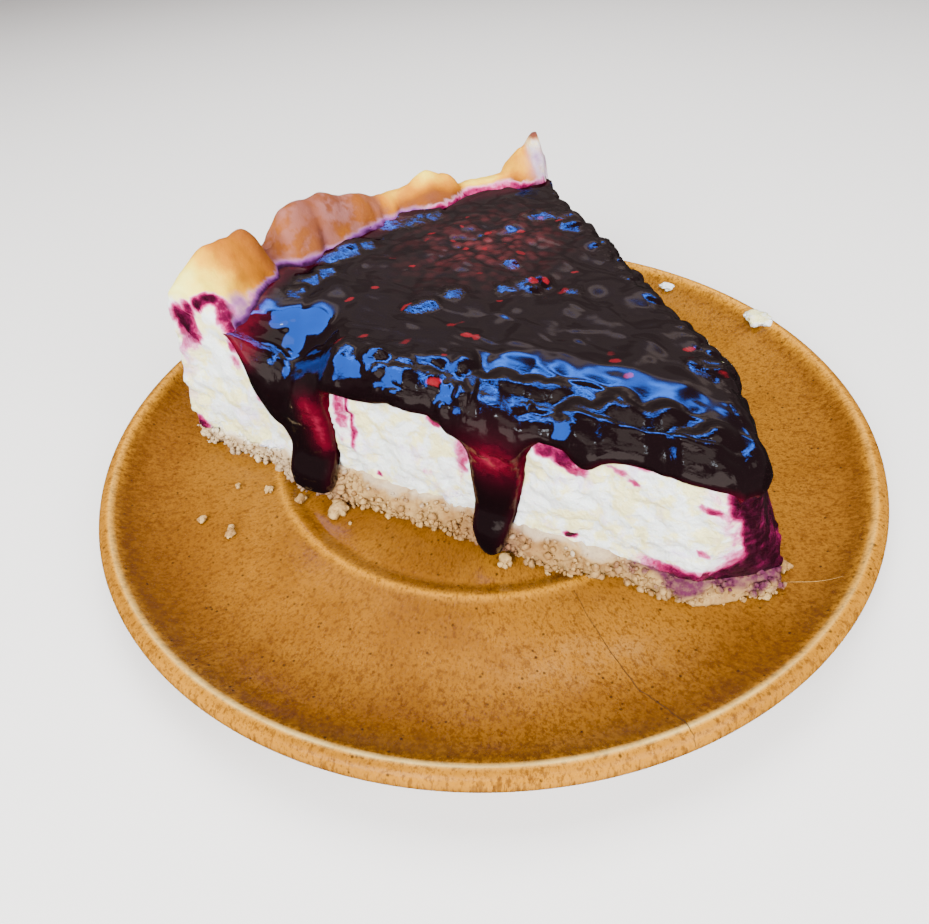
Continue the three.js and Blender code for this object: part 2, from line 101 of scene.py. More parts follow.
def value_noise(x: Number, y: Number, seed: float) -> Array:
    """Smooth noise on a unit square lattice, the same as the solids' own.

    Each lattice corner has a hashed value, and a point blends its four corners with S-steps.

    Args:
        x: First coordinate, in lattice steps.
        y: Second coordinate, in lattice steps.
        seed: Which noise.

    Returns:
        Values from -1 to 1.
    """
    x, y = np.broadcast_arrays(np.asarray(x, float), np.asarray(y, float))
    i, j = np.floor(x), np.floor(y)
    s, t = smooth(0, 1, x - i), smooth(0, 1, y - j)

    def corner(a: Array, b: Array) -> Array:
        """The hashed value of one lattice corner."""
        return fraction(np.sin(a * 127.1 + b * 311.7 + seed * 74.7) * 43758.5453)

    low = lerp(corner(i, j), corner(i + 1, j), s)
    high = lerp(corner(i, j + 1), corner(i + 1, j + 1), s)
    return 2 * lerp(low, high, t) - 1


def line_noise(x: Number, seed: float) -> Array:
    """Smooth noise from -1 to 1 along a line: the square lattice's, read at 0.5 across."""
    return value_noise(x, 0.5, seed)


def _hash(cells: Array, seed: int) -> Array:
    """Random numbers for lattice cells, by mixing their bits.

    Args:
        cells: Whole numbers, three for each cell.
        seed: Which random numbers.

    Returns:
        Three even random numbers from 0 to 1 for each cell.
    """
    c = cells.astype(np.int64)
    h = (c[..., 0] * 73856093) ^ (c[..., 1] * 19349663) ^ (c[..., 2] * 83492791) ^ (seed * 2654435)
    h = h & 0xFFFFFFFF
    out = []
    for k in (0x9E3779B1, 0x85EBCA6B, 0xC2B2AE35):
        v = (h ^ (h >> 15)) * k & 0xFFFFFFFF
        v = (v ^ (v >> 13)) * 0x27D4EB2F & 0xFFFFFFFF
        out.append(((v ^ (v >> 16)) & 0xFFFFFF) / float(0x1000000))
    return np.stack(out, axis=-1)


def swirl(points: Array, size: float, seed: int, octaves: int = 1) -> Array:
    """Gradient noise, with hills `size` millimetres apart.

    Each lattice corner has a random slope. A point adds up the eight corners' slopes times its offset
    from them, blended with fifth-power steps. Further octaves halve both size and height.

    Args:
        points: Points with their three coordinates last.
        size: The lattice's step.
        seed: Which noise.
        octaves: How many sizes are added up.

    Returns:
        Values from about -1 to 1.
    """
    total = np.zeros(points.shape[:-1])
    height = 1.0
    for octave in range(octaves):
        p = points / size
        base = np.floor(p)
        f = p - base
        w = f * f * f * (f * (f * 6 - 15) + 10)
        value = np.zeros(points.shape[:-1])
        for corner in range(8):
            step = np.array([corner & 1, corner >> 1 & 1, corner >> 2 & 1], float)
            slope = _hash(base + step, seed + octave) * 2 - 1
            weight = np.prod(np.where(step > 0, w, 1 - w), axis=-1)
            value += weight * np.sum(slope * (f - step), axis=-1)
        total += 1.6 * height * value
        height *= 0.5
        size *= 0.5
    return total


def pebbles(points: Array, size: float, seed: int) -> tuple[Array, Array]:
    """Cell noise with one random point in each cell.

    Args:
        points: Points with their three coordinates last.
        size: The side of a cell.
        seed: Which noise.

    Returns:
        The distance to the nearest random point, in cell sizes, and that cell's own number.
    """
    p = points / size
    base = np.floor(p)
    best = np.full(points.shape[:-1], 9.0)
    name = np.zeros(points.shape[:-1])
    for offset in itertools.product((-1.0, 0.0, 1.0), repeat=3):
        cell = base + np.array(offset)
        r = _hash(cell, seed)
        d = np.sqrt(np.sum((cell + r - p) ** 2, axis=-1))
        closer = d < best
        best = np.where(closer, d, best)
        name = np.where(closer, r[..., 0], name)
    return best, name


def distance_to_line(x: Array, y: Array, line: Array) -> Array:
    """Distance from points to a line of straight stretches.

    Args:
        x: First coordinate of each point.
        y: Second coordinate of each point.
        line: The line's (M, 2) corners.

    Returns:
        The shortest distance of each point.
    """
    p = np.stack([x.ravel(), y.ravel()], axis=1)
    best = np.full(len(p), 1e9)
    for a, b in zip(line[:-1], line[1:]):
        ab = b - a
        t = np.clip(((p - a) @ ab) / max(float(ab @ ab), 1e-12), 0, 1)
        best = np.minimum(best, np.hypot(*(p - a - t[:, None] * ab).T))
    return best.reshape(x.shape)


# Meshes.


def vertex_normals(points: Array, faces: Sequence[Array]) -> Array:
    """Unit normals at the vertices: the faces' normals, weighted by area and added up.

    Args:
        points: The vertices.
        faces: Arrays of quads and of triangles.

    Returns:
        One normal for each vertex.
    """
    total = np.zeros_like(points)
    for f in faces:
        if not len(f):
            continue
        if f.shape[1] == 4:
            n = np.cross(points[f[:, 2]] - points[f[:, 0]], points[f[:, 3]] - points[f[:, 1]])
        else:
            n = np.cross(points[f[:, 1]] - points[f[:, 0]], points[f[:, 2]] - points[f[:, 0]])
        for k in range(f.shape[1]):
            for axis in range(3):
                total[:, axis] += np.bincount(f[:, k], n[:, axis], len(points))
    return total / np.maximum(np.linalg.norm(total, axis=1, keepdims=True), 1e-12)


@dataclass
class Skin:
    """A closed mesh under construction, in millimetres."""

    points: Array
    quads: Array = field(default_factory=lambda: np.zeros((0, 4), int))
    triangles: Array = field(default_factory=lambda: np.zeros((0, 3), int))
    paint: dict[str, Array] = field(default_factory=dict)

    def normals(self) -> Array:
        """The vertex normals."""
        return vertex_normals(self.points, [self.quads, self.triangles])

    def push(self, height: Array) -> None:
        """Moves every vertex along its normal by its own height."""
        self.points = self.points + self.normals() * height[:, None]

    def dye(self, name: str, values: Array) -> None:
        """Sets one of the paints, held between 0 and 1."""
        self.paint[name] = np.clip(values, 0, 1)

    @staticmethod
    def joined(skins: Sequence["Skin"]) -> "Skin":
        """Several skins as one."""
        starts = np.cumsum([0] + [len(s.points) for s in skins])
        names = sorted({n for s in skins for n in s.paint})
        paint = {n: np.concatenate([s.paint.get(n, np.zeros(len(s.points))) for s in skins]) for n in names}
        return Skin(
            np.concatenate([s.points for s in skins]),
            np.concatenate([s.quads + k for s, k in zip(skins, starts)]),
            np.concatenate([s.triangles + k for s, k in zip(skins, starts)]),
            paint,
        )


def mesh_object(name: str, skin: Skin, material: bpy.types.Material) -> bpy.types.Object:
    """Makes a Blender object from a skin, at the origin, with its paint as point attributes.

    Args:
        name: The piece's name.
        skin: The mesh in millimetres.
        material: Its finish.

    Returns:
        The new object, linked to the scene.
    """
    mesh = bpy.data.meshes.new(name)
    quads, triangles = skin.quads.astype(np.int32), skin.triangles.astype(np.int32)
    loops = np.concatenate([quads.ravel(), triangles.ravel()])
    sizes = np.concatenate([np.full(len(quads), 4), np.full(len(triangles), 3)]).astype(np.int32)
    starts = np.concatenate([[0], np.cumsum(sizes)[:-1]]).astype(np.int32)
    mesh.vertices.add(len(skin.points))
    mesh.vertices.foreach_set("co", (skin.points * MM).astype(np.float32).ravel())
    mesh.loops.add(len(loops))
    mesh.loops.foreach_set("vertex_index", loops)
    mesh.polygons.add(len(sizes))
    mesh.polygons.foreach_set("loop_start", starts)
    mesh.polygons.foreach_set("loop_total", sizes)
    mesh.update(calc_edges=True)
    mesh.validate()
    mesh.polygons.foreach_set("use_smooth", np.ones(len(mesh.polygons), bool))
    for key, values in skin.paint.items():
        attribute = mesh.attributes.new(key, "FLOAT", "POINT")
        attribute.data.foreach_set("value", values.astype(np.float32))
    mesh.materials.append(material)
    obj = bpy.data.objects.new(name, mesh)
    bpy.context.scene.collection.objects.link(obj)
    return obj


def grid_quads(index: Array, turned: bool = False) -> Array:
    """The quads of a grid of vertex numbers, facing up for rows outwards and columns anticlockwise."""
    a, b, c, d = index[:-1, :-1], index[1:, :-1], index[1:, 1:], index[:-1, 1:]
    order = (a, d, c, b) if turned else (a, b, c, d)
    return np.stack([v.ravel() for v in order], axis=1)


def ringed(rings: Array, start: Array, end: Array, turned: bool = False) -> Skin:
    """A closed skin from rings of points, each end fanned to one point.

    Args:
        rings: (levels, around, 3) points.
        start: The point that closes the first ring.
        end: The point that closes the last ring.
        turned: Whether the faces are turned over.

    Returns:
        The skin. Its last two vertices are the start and end points.
    """
    index = np.arange(rings.shape[0] * rings.shape[1]).reshape(rings.shape[:2])
    wrapped = np.concatenate([index, index[:, :1]], axis=1)
    near, far = (0, 1), (1, 0)
    if turned:
        near, far = far, near
    fans = []
    for pole, ring, (a, b) in ((index.size, wrapped[0], near), (index.size + 1, wrapped[-1], far)):
        ends = (ring[:-1], ring[1:])
        fans.append(np.stack([np.full(len(ends[0]), pole), ends[a], ends[b]], axis=1))
    points = np.concatenate([rings.reshape(-1, 3), [start, end]])
    return Skin(points, grid_quads(wrapped, turned), np.concatenate(fans))


def border_of(rows: int, columns: int) -> tuple[Array, Array]:
    """The border of a grid, far cut first, then rim, near cut and tip.

    Args:
        rows: The number of rows of quads.
        columns: The number of columns of quads.

    Returns:
        The row number and the column number of each border vertex.
    """
    i = [np.arange(rows), np.full(columns, rows), np.arange(rows, 0, -1), np.zeros(columns, int)]
    j = [np.zeros(rows, int), np.arange(columns), np.full(rows, columns), np.arange(columns, 0, -1)]
    return np.concatenate(i), np.concatenate(j)


def capped_skin(top: Array, rings: Array, under: Array) -> tuple[Skin, int]:
    """A closed skin from a top grid, rings hung from its border, and a grid or point underneath.

    Args:
        top: (rows + 1, columns + 1, 3) upper points.
        rings: (levels, border, 3) points below the border, one ring under the other.
        under: A lower grid of the top's shape, or one point.

    Returns:
        The skin, and the number of top vertices, which come first.
    """
    rows, columns = top.shape[0] - 1, top.shape[1] - 1
    bi, bj = border_of(rows, columns)
    upper = np.arange(top.shape[0] * top.shape[1]).reshape(top.shape[:2])
    parts = [top.reshape(-1, 3), rings.reshape(-1, 3)]
    count = len(parts[0])
    loops = [upper[bi, bj]]
    for level in range(len(rings)):
        loops.append(count + level * len(bi) + np.arange(len(bi)))
    count += rings.shape[0] * rings.shape[1]
    quads = [grid_quads(upper)]
    triangles = np.zeros((0, 3), int)
    if under.ndim == 3:
        lower = count + np.arange(under.shape[0] * under.shape[1]).reshape(under.shape[:2])
        parts.append(under.reshape(-1, 3))
        loops.append(lower[bi, bj])
        quads.append(grid_quads(lower, turned=True))
    else:
        parts.append(under.reshape(1, 3))
        last = loops[-1]
        triangles = np.stack([last, np.full(len(last), count), np.roll(last, -1)], axis=1)
    for above, below in zip(loops[:-1], loops[1:]):
        quads.append(np.stack([above, below, np.roll(below, -1), np.roll(above, -1)], axis=1))
    return Skin(np.concatenate(parts), np.concatenate(quads), triangles), upper.size


# The slice's own shape, shared by its layers.


@dataclass(frozen=True)
class SliceShape:
    """The slice's measures round the middle of the whole cake, in millimetres and degrees."""

    centre_x: float = 52.6
    centre_y: float = -62.6
    cake_radius: float = 130.0
    tip_radius: float = 12.6
    tip_lean: float = 2.2
    tip_near_foot: float = 8.4
    tip_near_top: float = 3.5
    tip_far_corner: float = 22.0
    near_degrees: float = 151.2
    far_degrees: float = 104.2
    gap: float = 0.3
    crumb_bottom: float = 6.8
    crumb_top: float = 12.6
    filling_bottom: float = 12.9
    filling_top: float = 35.6
    topping_top: float = 40.6
    rim_crest_radius: float = 126.2
    rim_shoulder: float = 46.0
    rim_flare: float = 6.6
    crumb_flare: float = 5.4
    crest: tuple = (
        (103.4, 44.5, 120), (104.2, 48.6, 120), (105.4, 54.4, 119.5), (107.1, 51.4, 119.5),
        (109.4, 45.4, 120.5), (114.6, 45.2, 120.5), (117.2, 49, 119.5), (119.4, 50.8, 119),
        (122.6, 48.4, 120), (125.5, 48.6, 120), (129.4, 51.6, 119), (133.6, 53.8, 117.6),
        (137.4, 53.6, 118), (140.3, 48.2, 120), (142.8, 53.4, 117.5), (147, 53.8, 113),
        (149.8, 51.6, 112), (151.6, 48.9, 112),
    )

    slumps: tuple = (
        # place along the near cut, how far in the slope starts, how far it drops at the cut
        (10, 6, 1.5), (17, 7, 2.4), (21, 12.5, 3.6), (28, 15, 4.2), (40, 17, 4.6), (57, 16.5, 4.4),
        (64, 12.8, 3.6), (71, 10.4, 2.8), (78, 8, 2), (94, 6, 1.2), (110, 5, 0.8), (130, 5, 0.5),
    )

    @property
    def near(self) -> float:
        """Direction of the near cut, in radians."""
        return math.radians(self.near_degrees)

    @property
    def far(self) -> float:
        """Direction of the far cut, in radians."""
        return math.radians(self.far_degrees)

    def place(self, rho: Number, angle: Number, z: Number, out: Number = 0.0) -> Array:
        """The point at a radius, direction and height, moved `out` square to its radius."""
        c, s = np.cos(angle), np.sin(angle)
        x = self.centre_x + rho * c - out * s
        y = self.centre_y + rho * s + out * c
        return np.stack(np.broadcast_arrays(x, y, z), axis=-1)

    def middle(self, z: float) -> Array:
        """A point on the slice's middle line, where a hidden face is fanned to."""
        return self.place(78.0, (self.near + self.far) / 2, z)

    def polar(self, points: Array) -> tuple[Array, Array]:
        """Radius and direction of points, round the middle of the cake."""
        x, y = points[..., 0] - self.centre_x, points[..., 1] - self.centre_y
        return np.hypot(x, y), np.arctan2(y, x)

    def in_near(self, rho: Number, angle: Number) -> Number:
        """Distance inwards from the near cut."""
        return rho * np.sin(self.near - angle)

    def in_far(self, rho: Number, angle: Number) -> Number:
        """Distance inwards from the far cut."""
        return rho * np.sin(angle - self.far)

    def along_near(self, rho: Number, angle: Number) -> Number:
        """Distance along the near cut from the middle of the cake."""
        return rho * np.cos(self.near - angle)

    def jam_level(self, rho: Number, angle: Number) -> Number:
        """The topping's even level: rising a little towards the rim, sunk where it pours."""
        return self.topping_top + 2.4 * rho / 120 - self.spill(rho, angle)

    def across(self, angle: Number) -> Number:
        """0 at the near cut and 1 at the far cut."""
        return (self.near - angle) / (self.near - self.far)

    def tip_at(self, angle: Number, z: Number) -> Number:
        """Radius of the broken tip's wall.

        Its near corner is worn back by the cube of the share from the far cut, most at the foot; its
        far corner by the cube of the share from the near cut, most at the top.
        """
        t = self.across(angle)
        up = np.clip((z - self.filling_bottom) / (self.filling_top - self.filling_bottom), 0, 1)
        near = lerp(self.tip_near_foot, self.tip_near_top, up) * (1 - t) ** 3
        return self.tip_radius + near + self.tip_lean * up ** 2 + self.tip_far_corner * up ** 1.5 * t ** 3

    def spill(self, rho: Number, angle: Number) -> Number:
        """How deep the topping has sunk where it pours over the near cut."""
        inward = 1 - smooth(0, 16, self.in_near(rho, angle))
        return 9.0 * bell(rho, 105.0, 8.0) * inward

    def slump(self, rho: Number, angle: Number) -> tuple[Array, Array]:
        """Where the topping slides towards the near cut: a share from 0 to 1, and how far it drops."""
        along, inward = self.along_near(rho, angle), self.in_near(rho, angle)
        at, wide, deep = (np.array(c) for c in zip(*self.slumps))
        share = np.clip(1 - inward / np.interp(along, at, wide), 0, 1)
        return share, np.interp(along, at, deep) * share ** 1.3

    def rim(self, angle: Number) -> tuple[Array, Array]:
        """The rim's crest height and inner radius, S-stepped between the listed directions."""
        degrees = np.degrees(angle)
        at, height, foot = (np.array(c) for c in zip(*self.crest))
        i = np.clip(np.searchsorted(at, degrees, side="left") - 1, 0, len(at) - 2)
        t = smooth(0, 1, (degrees - at[i]) / (at[i + 1] - at[i]))
        return lerp(height[i], height[i + 1], t), lerp(foot[i], foot[i + 1], t)

    def filling_at(self, rho: Number, angle: Number) -> Array:
        """The filling's upper face: level under the topping, then the rim's rounded bead."""
        level = self.filling_top + rho / 120.0 - self.spill(rho, angle)
        crest, foot = self.rim(angle)
        inner = lerp(level, crest, smooth(0, 1, (rho - foot) / (self.rim_crest_radius - foot)) ** 0.8)
        over = np.clip((rho - self.rim_crest_radius) / (self.cake_radius - self.rim_crest_radius), 0, 1)
        shoulder = np.minimum(crest - 2, self.rim_shoulder)
        outer = lerp(shoulder, crest, np.sqrt(1 - over ** 2))
        return np.where(rho <= self.rim_crest_radius, inner, outer)

    def topping_reach(self, angle: Number) -> Number:
        """The radius where the topping meets the rim."""
        return lerp(self.rim(angle)[1], self.rim_crest_radius, 0.36)

    def topping_under(self, rho: Number, angle: Number) -> Array:
        """The topping's underside."""
        foot = self.rim(angle)[1]
        clear = 0.12 * self.spill(rho, angle) + 0.5 * smooth(0, 1, (rho - foot + 3) / 3)
        return self.filling_at(rho, angle) + self.gap + clear

    def flare(self, z: Number) -> Number:
        """How far the outer wall leans out at a height."""
        share = np.clip((self.rim_shoulder - z) / (self.rim_shoulder - self.filling_bottom), 0, 1)
        return self.rim_flare * share ** 0.8

    def crumb_bulge(self, rho: Number) -> Number:
        """How far the crumbs stand out from the near cut."""
        return 0.3 + 2.3 * smooth(30, 39, rho) * smooth(117, 107, rho)


SLICE = SliceShape()


# Materials.


def fill_ramp(ramp: bpy.types.ColorRamp, stops: Sequence[tuple[float, tuple]]) -> None:
    """Gives a colour ramp its stops, each a place from 0 to 1 and a colour."""
    while len(ramp.elements) < len(stops):
        ramp.elements.new(0.5)
    for element, (at, colour) in zip(ramp.elements, stops):
        element.position, element.color = at, (*colour, 1.0)


class Tree:
    """A material's node tree, built with short calls that return output sockets."""

    def __init__(self, name: str) -> None:
        """Starts an empty tree with its shader and the piece's own coordinates."""
        self.material = bpy.data.materials.new(name)
        self.material.use_nodes = True
        self.nodes = self.material.node_tree.nodes
        self.links = self.material.node_tree.links
        self.nodes.clear()
        output = self.node("OutputMaterial")
        self.shader = self.node("BsdfPrincipled")
        self.links.new(self.shader.outputs[0], output.inputs["Surface"])
        self.place = self.node("TexCoord").outputs["Object"]

    def feed(self, socket: Socket, value: Value) -> None:
        """Links or sets one input."""
        if isinstance(value, bpy.types.NodeSocket):
            self.links.new(value, socket)
        elif isinstance(value, tuple) and socket.type == "RGBA" and len(value) == 3:
            socket.default_value = (*value, 1.0)
        else:
            socket.default_value = value

    def node(self, kind: str, feeds: dict | None = None, **settings: object) -> bpy.types.Node:
        """Adds a node.

        Args:
            kind: Its type, without the words that every shader node's type begins with.
            feeds: A link or a value for each input that has one, by the input's name or number.
            settings: The node's own options.

        Returns:
            The node.
        """
        node = self.nodes.new("ShaderNode" + kind)
        for key, value in settings.items():
            setattr(node, key, value)
        for key, value in (feeds or {}).items():
            self.feed(node.inputs[key], value)
        return node

    def set(self, **inputs: Value) -> None:
        """Feeds the shader's own inputs, with underscores for spaces in their names."""
        for key, value in inputs.items():
            self.feed(self.shader.inputs[key.replace("_", " ")], value)

    def paint(self, name: str) -> Socket:
        """One of the piece's point attributes."""
        return self.node("Attribute", attribute_name=name).outputs["Fac"]

    def times(self, a: Value, b: Value) -> Socket:
        """The first value times the second."""
        return self.node("Math", {0: a, 1: b}, operation="MULTIPLY").outputs[0]

    def plus(self, a: Value, b: Value, clamp: bool = False) -> Socket:
        """The sum of two values, held between 0 and 1 if asked."""
        return self.node("Math", {0: a, 1: b}, operation="ADD", use_clamp=clamp).outputs[0]

    def minus(self, a: Value, b: Value) -> Socket:
        """The first value less the second."""
        return self.node("Math", {0: a, 1: b}, operation="SUBTRACT").outputs[0]

    def stretch(self, vector: Socket, scale: tuple, turn: float = 0.0) -> Socket:
        """The vector scaled, then turned about the upright axis."""
        feeds = {"Vector": vector, "Scale": scale, "Rotation": (0.0, 0.0, turn)}
        return self.node("Mapping", feeds).outputs[0]

    def vector(self, kind: str, *inputs: Value) -> bpy.types.NodeOutputs:
        """One step on vectors, as the step's outputs."""
        return self.node("VectorMath", dict(enumerate(inputs)), operation=kind).outputs

    def noise(self, per_mm: float, detail: float = 3.0, rough: float = 0.55, warp: float = 0.0,
              vector: Socket | None = None) -> Socket:
        """Fractal noise.

        Args:
            per_mm: How many features lie on a millimetre.
            detail: How many finer layers are added.
            rough: How strong each finer layer is.
            warp: How much the noise bends itself.
            vector: Where it is read, the piece's own coordinates if not given.

        Returns:
            A value from 0 to 1.
        """
        feeds = {"Vector": vector or self.place, "Scale": per_mm / MM, "Detail": detail, "Roughness": rough,
                 "Distortion": warp}
        return self.node("TexNoise", feeds).outputs[0]

    def cells(self, per_mm: float) -> Socket:
        """The distance to the nearest of the random points of cell noise."""
        return self.node("TexVoronoi", {"Vector": self.place, "Scale": per_mm / MM}).outputs["Distance"]

    def step(self, value: Socket, start: float, stop: float, low: float = 0.0, high: float = 1.0) -> Socket:
        """An S-shaped step of a value between two levels."""
        feeds = {"Value": value, "From Min": start, "From Max": stop, "To Min": low, "To Max": high}
        return self.node("MapRange", feeds, interpolation_type="SMOOTHSTEP").outputs[0]

    def ramp(self, value: Socket, stops: Sequence[tuple[float, tuple]]) -> Socket:
        """A colour for a value, blended between stops."""
        node = self.node("ValToRGB", {0: value})
        fill_ramp(node.color_ramp, stops)
        return node.outputs[0]

    def blend(self, share: Value, a: Value, b: Value) -> Socket:
        """Two colours mixed by a share."""
        return self.node("Mix", {0: share, 6: a, 7: b}, data_type="RGBA").outputs[2]

    def frayed(self, name: str, noise: Socket, amount: float, start: float, stop: float) -> Socket:
        """A paint with noise added, held between 0 and 1, so that its borders fray.

        Args:
            name: The point attribute.
            noise: Noise around 0.
            amount: How much of the noise is added.
            start: The paint's value where the noise begins to count.
            stop: The paint's value from which it counts in full.

        Returns:
            The frayed value.
        """
        paint = self.paint(name)
        extra = self.times(self.times(noise, amount), self.step(paint, start, stop))
        return self.plus(paint, extra, clamp=True)

    def bump(self, height: Socket, strength: float, distance_mm: float,
             below: Socket | None = None) -> Socket:
        """A bumped normal, on top of another one where `below` is given."""
        feeds = {"Height": height, "Strength": strength, "Distance": distance_mm * MM}
        if below is not None:
            feeds["Normal"] = below
        return self.node("Bump", feeds).outputs[0]


@dataclass(frozen=True)
class StonewareGlaze:
    """Ochre glaze peppered with rust specks, darker towards the lip and in painted shade, pale on its sharp
    edge, with painted highlights and a painted sheen.
    """

    ochre: tuple = (0.178, 0.066, 0.0030)
    honey: tuple = (0.258, 0.104, 0.0060)
    rust: tuple = (0.070, 0.020, 0.0025)
    speck: tuple = (0.020, 0.007, 0.0035)
    # Golden glaze on the lip, also used for painted highlights.
    gold: tuple = (0.58, 0.25, 0.004)
    # The pale sharp edge of the lip: a glaze break and a painted highlight.
    cream: tuple = (0.95, 0.74, 0.28)
    # The pale colour of a painted sheen on the deck.
    sheen_tint: tuple = (0.34, 0.19, 0.075)
    roughness: float = 0.20
    pepper: tuple = (
        # specks to the millimetre, where their noise starts and is full, their strength
        (0.75, 0.56, 0.68, 0.25), (1.5, 0.535, 0.61, 0.52), (2.9, 0.53, 0.61, 0.55),
    )

    def build(self) -> bpy.types.Material:
        """The plate's material, from the attributes `brown`, `haze`, `gold` and `arris`.

        Streaks and specks are read at (x, y) on a small circle and at a height of 0.6 times the
        distance from the middle, so that they run along the plate's radii.
        """
        t = Tree("ochre_glaze")
        flat = t.stretch(t.place, (1.0, 1.0, 0.0))
        rise = t.vector("MULTIPLY", t.vector("LENGTH", flat)["Value"], (0.0, 0.0, 0.6))[0]
        along = t.vector("MULTIPLY_ADD", t.vector("NORMALIZE", flat)[0], (0.055, 0.055, 0.0), rise)[0]

        clouds = t.noise(0.045, 4, 0.6)
        streaks = t.noise(1.1, 5, 0.7, vector=along)
        base = t.blend(t.step(clouds, 0.35, 0.65), self.ochre, self.honey)
        # A painted reflection: a pale sheen on the deck.
        haze = t.times(t.paint("haze"), t.step(t.noise(0.16, 5, 0.65), 0.4, 0.72))
        base = t.blend(t.times(haze, 0.45), base, self.sheen_tint)
        # Golden glaze and painted highlights.
        base = t.blend(t.paint("gold"), base, self.gold)
        # Rust streaks and painted shade: darker towards the lip, at the sides and in the well.
        brown = t.paint("brown")
        base = t.blend(t.times(brown, t.step(streaks, 0.3, 0.65, 0.45, 0.85)), base, self.rust)
        crowd = t.times(brown, 0.05)
        for per_mm, start, stop, share in self.pepper:
            specks = t.plus(t.noise(per_mm, 3, 0.72, vector=along), crowd)
            base = t.blend(t.step(specks, start, stop, 0.0, share), base, self.rust)
        some = t.step(t.noise(0.35, 2), 0.50, 0.60)
        near_dot = t.times(t.step(t.cells(0.62), 0.22, 0.10), some)
        base = t.blend(t.times(near_dot, 0.85), base, self.speck)
        # The pale sharp edge of the lip: a glaze break and a painted highlight.
        base = t.blend(t.paint("arris"), base, self.cream)
        t.set(Base_Color=base, Roughness=t.step(streaks, 0.3, 0.8, self.roughness, self.roughness + 0.14))
        pits = t.plus(t.noise(0.9, 3, 0.5), t.times(t.noise(2.2, 2, 0.6), 0.35))
        t.set(IOR=1.45, Normal=t.bump(pits, 0.25, 0.08))
        return t.material


@dataclass(frozen=True)
class BakedCheese:
    """Moist white baked cheese: curds on the cuts, lemon to dark tan on the rim with a painted highlight,
    berry juice stains.
    """

    white: tuple = (0.87, 0.95, 0.95)
    butter: tuple = (0.93, 0.86, 0.36)
    lilac: tuple = (0.74, 0.60, 0.88)
    bloom: tuple = (0.30, 0.125, 0.120)
    roughness: float = 0.42

    def build(self) -> bpy.types.Material:
        """The filling's material. It reads `rind`, `baked`, `bloom`, `juice` and `seam`."""
        t = Tree("baked_cheese")
        curd = t.noise(0.30, 4, 0.6)
        patch = t.noise(0.11, 3, 0.6, 0.4)
        inside = t.blend(t.step(t.times(curd, patch), 0.21, 0.30, 0.0, 0.85), self.white, self.butter)
        tinge = t.step(t.noise(0.17, 4, 0.65, 0.3), 0.54, 0.68, 0.0, 0.6)
        inside = t.blend(tinge, inside, self.lilac)
        mottle = t.minus(t.noise(0.22, 4, 0.6), 0.5)
        baked = t.plus(t.paint("baked"), t.times(mottle, 0.22), clamp=True)
        crust = t.ramp(baked, [
            (0.0, (0.92, 0.92, 0.26)), (0.12, (0.90, 0.68, 0.06)), (0.24, (0.78, 0.39, 0.004)),
            (0.36, (0.56, 0.205, 0.002)), (0.50, (0.39, 0.125, 0.002)), (0.62, (0.235, 0.068, 0.008)),
            (0.74, (0.180, 0.052, 0.020)), (0.88, (0.11, 0.028, 0.022)), (1.0, (0.05, 0.012, 0.018)),
        ])
        dusky = t.times(t.paint("bloom"), t.step(mottle, -0.08, 0.07, 0.05, 0.85))
        crust = t.blend(dusky, crust, self.bloom)
        colour = t.blend(t.paint("rind"), inside, crust)
        seep = t.minus(t.noise(0.5, 4, 0.65), 0.5)
        juice = t.frayed("juice", seep, 0.9, 0.02, 0.3)
        stain = t.ramp(juice, [
            (0.0, (0.90, 0.80, 0.88)), (0.22, (0.72, 0.22, 0.44)), (0.45, (0.36, 0.014, 0.11)),
            (0.66, (0.115, 0.0025, 0.034)), (0.85, (0.034, 0.0013, 0.011)), (1.0, (0.012, 0.0009, 0.0040)),
        ])
        colour = t.blend(t.step(juice, 0.02, 0.30), colour, stain)
        drift = t.minus(t.noise(0.22, 2, 0.5), 0.5)
        seam = t.frayed("seam", drift, 0.5, 0.05, 0.4)
        band = t.ramp(seam, [
            (0.0, (0.60, 0.32, 0.52)), (0.45, (0.22, 0.065, 0.26)), (0.8, (0.045, 0.008, 0.05)),
            (1.0, (0.012, 0.002, 0.010)),
        ])
        colour = t.blend(t.step(seam, 0.05, 0.5), colour, band)
        t.set(Base_Color=colour, Roughness=t.step(juice, 0.3, 0.8, self.roughness, 0.16))
        t.set(IOR=1.42, Subsurface_Weight=0.22, Subsurface_Scale=1.6 * MM)
        t.set(Subsurface_Radius=(1.0, 0.75, 0.5))
        grain = t.plus(t.noise(1.3, 4, 0.65), t.times(t.noise(0.40, 4, 0.6), 1.6))
        lumpy = t.times(t.minus(1.0, t.paint("rind")), 0.8)
        t.set(Normal=t.bump(t.times(grain, t.plus(lumpy, 0.2)), 0.9, 0.55))
        return t.material


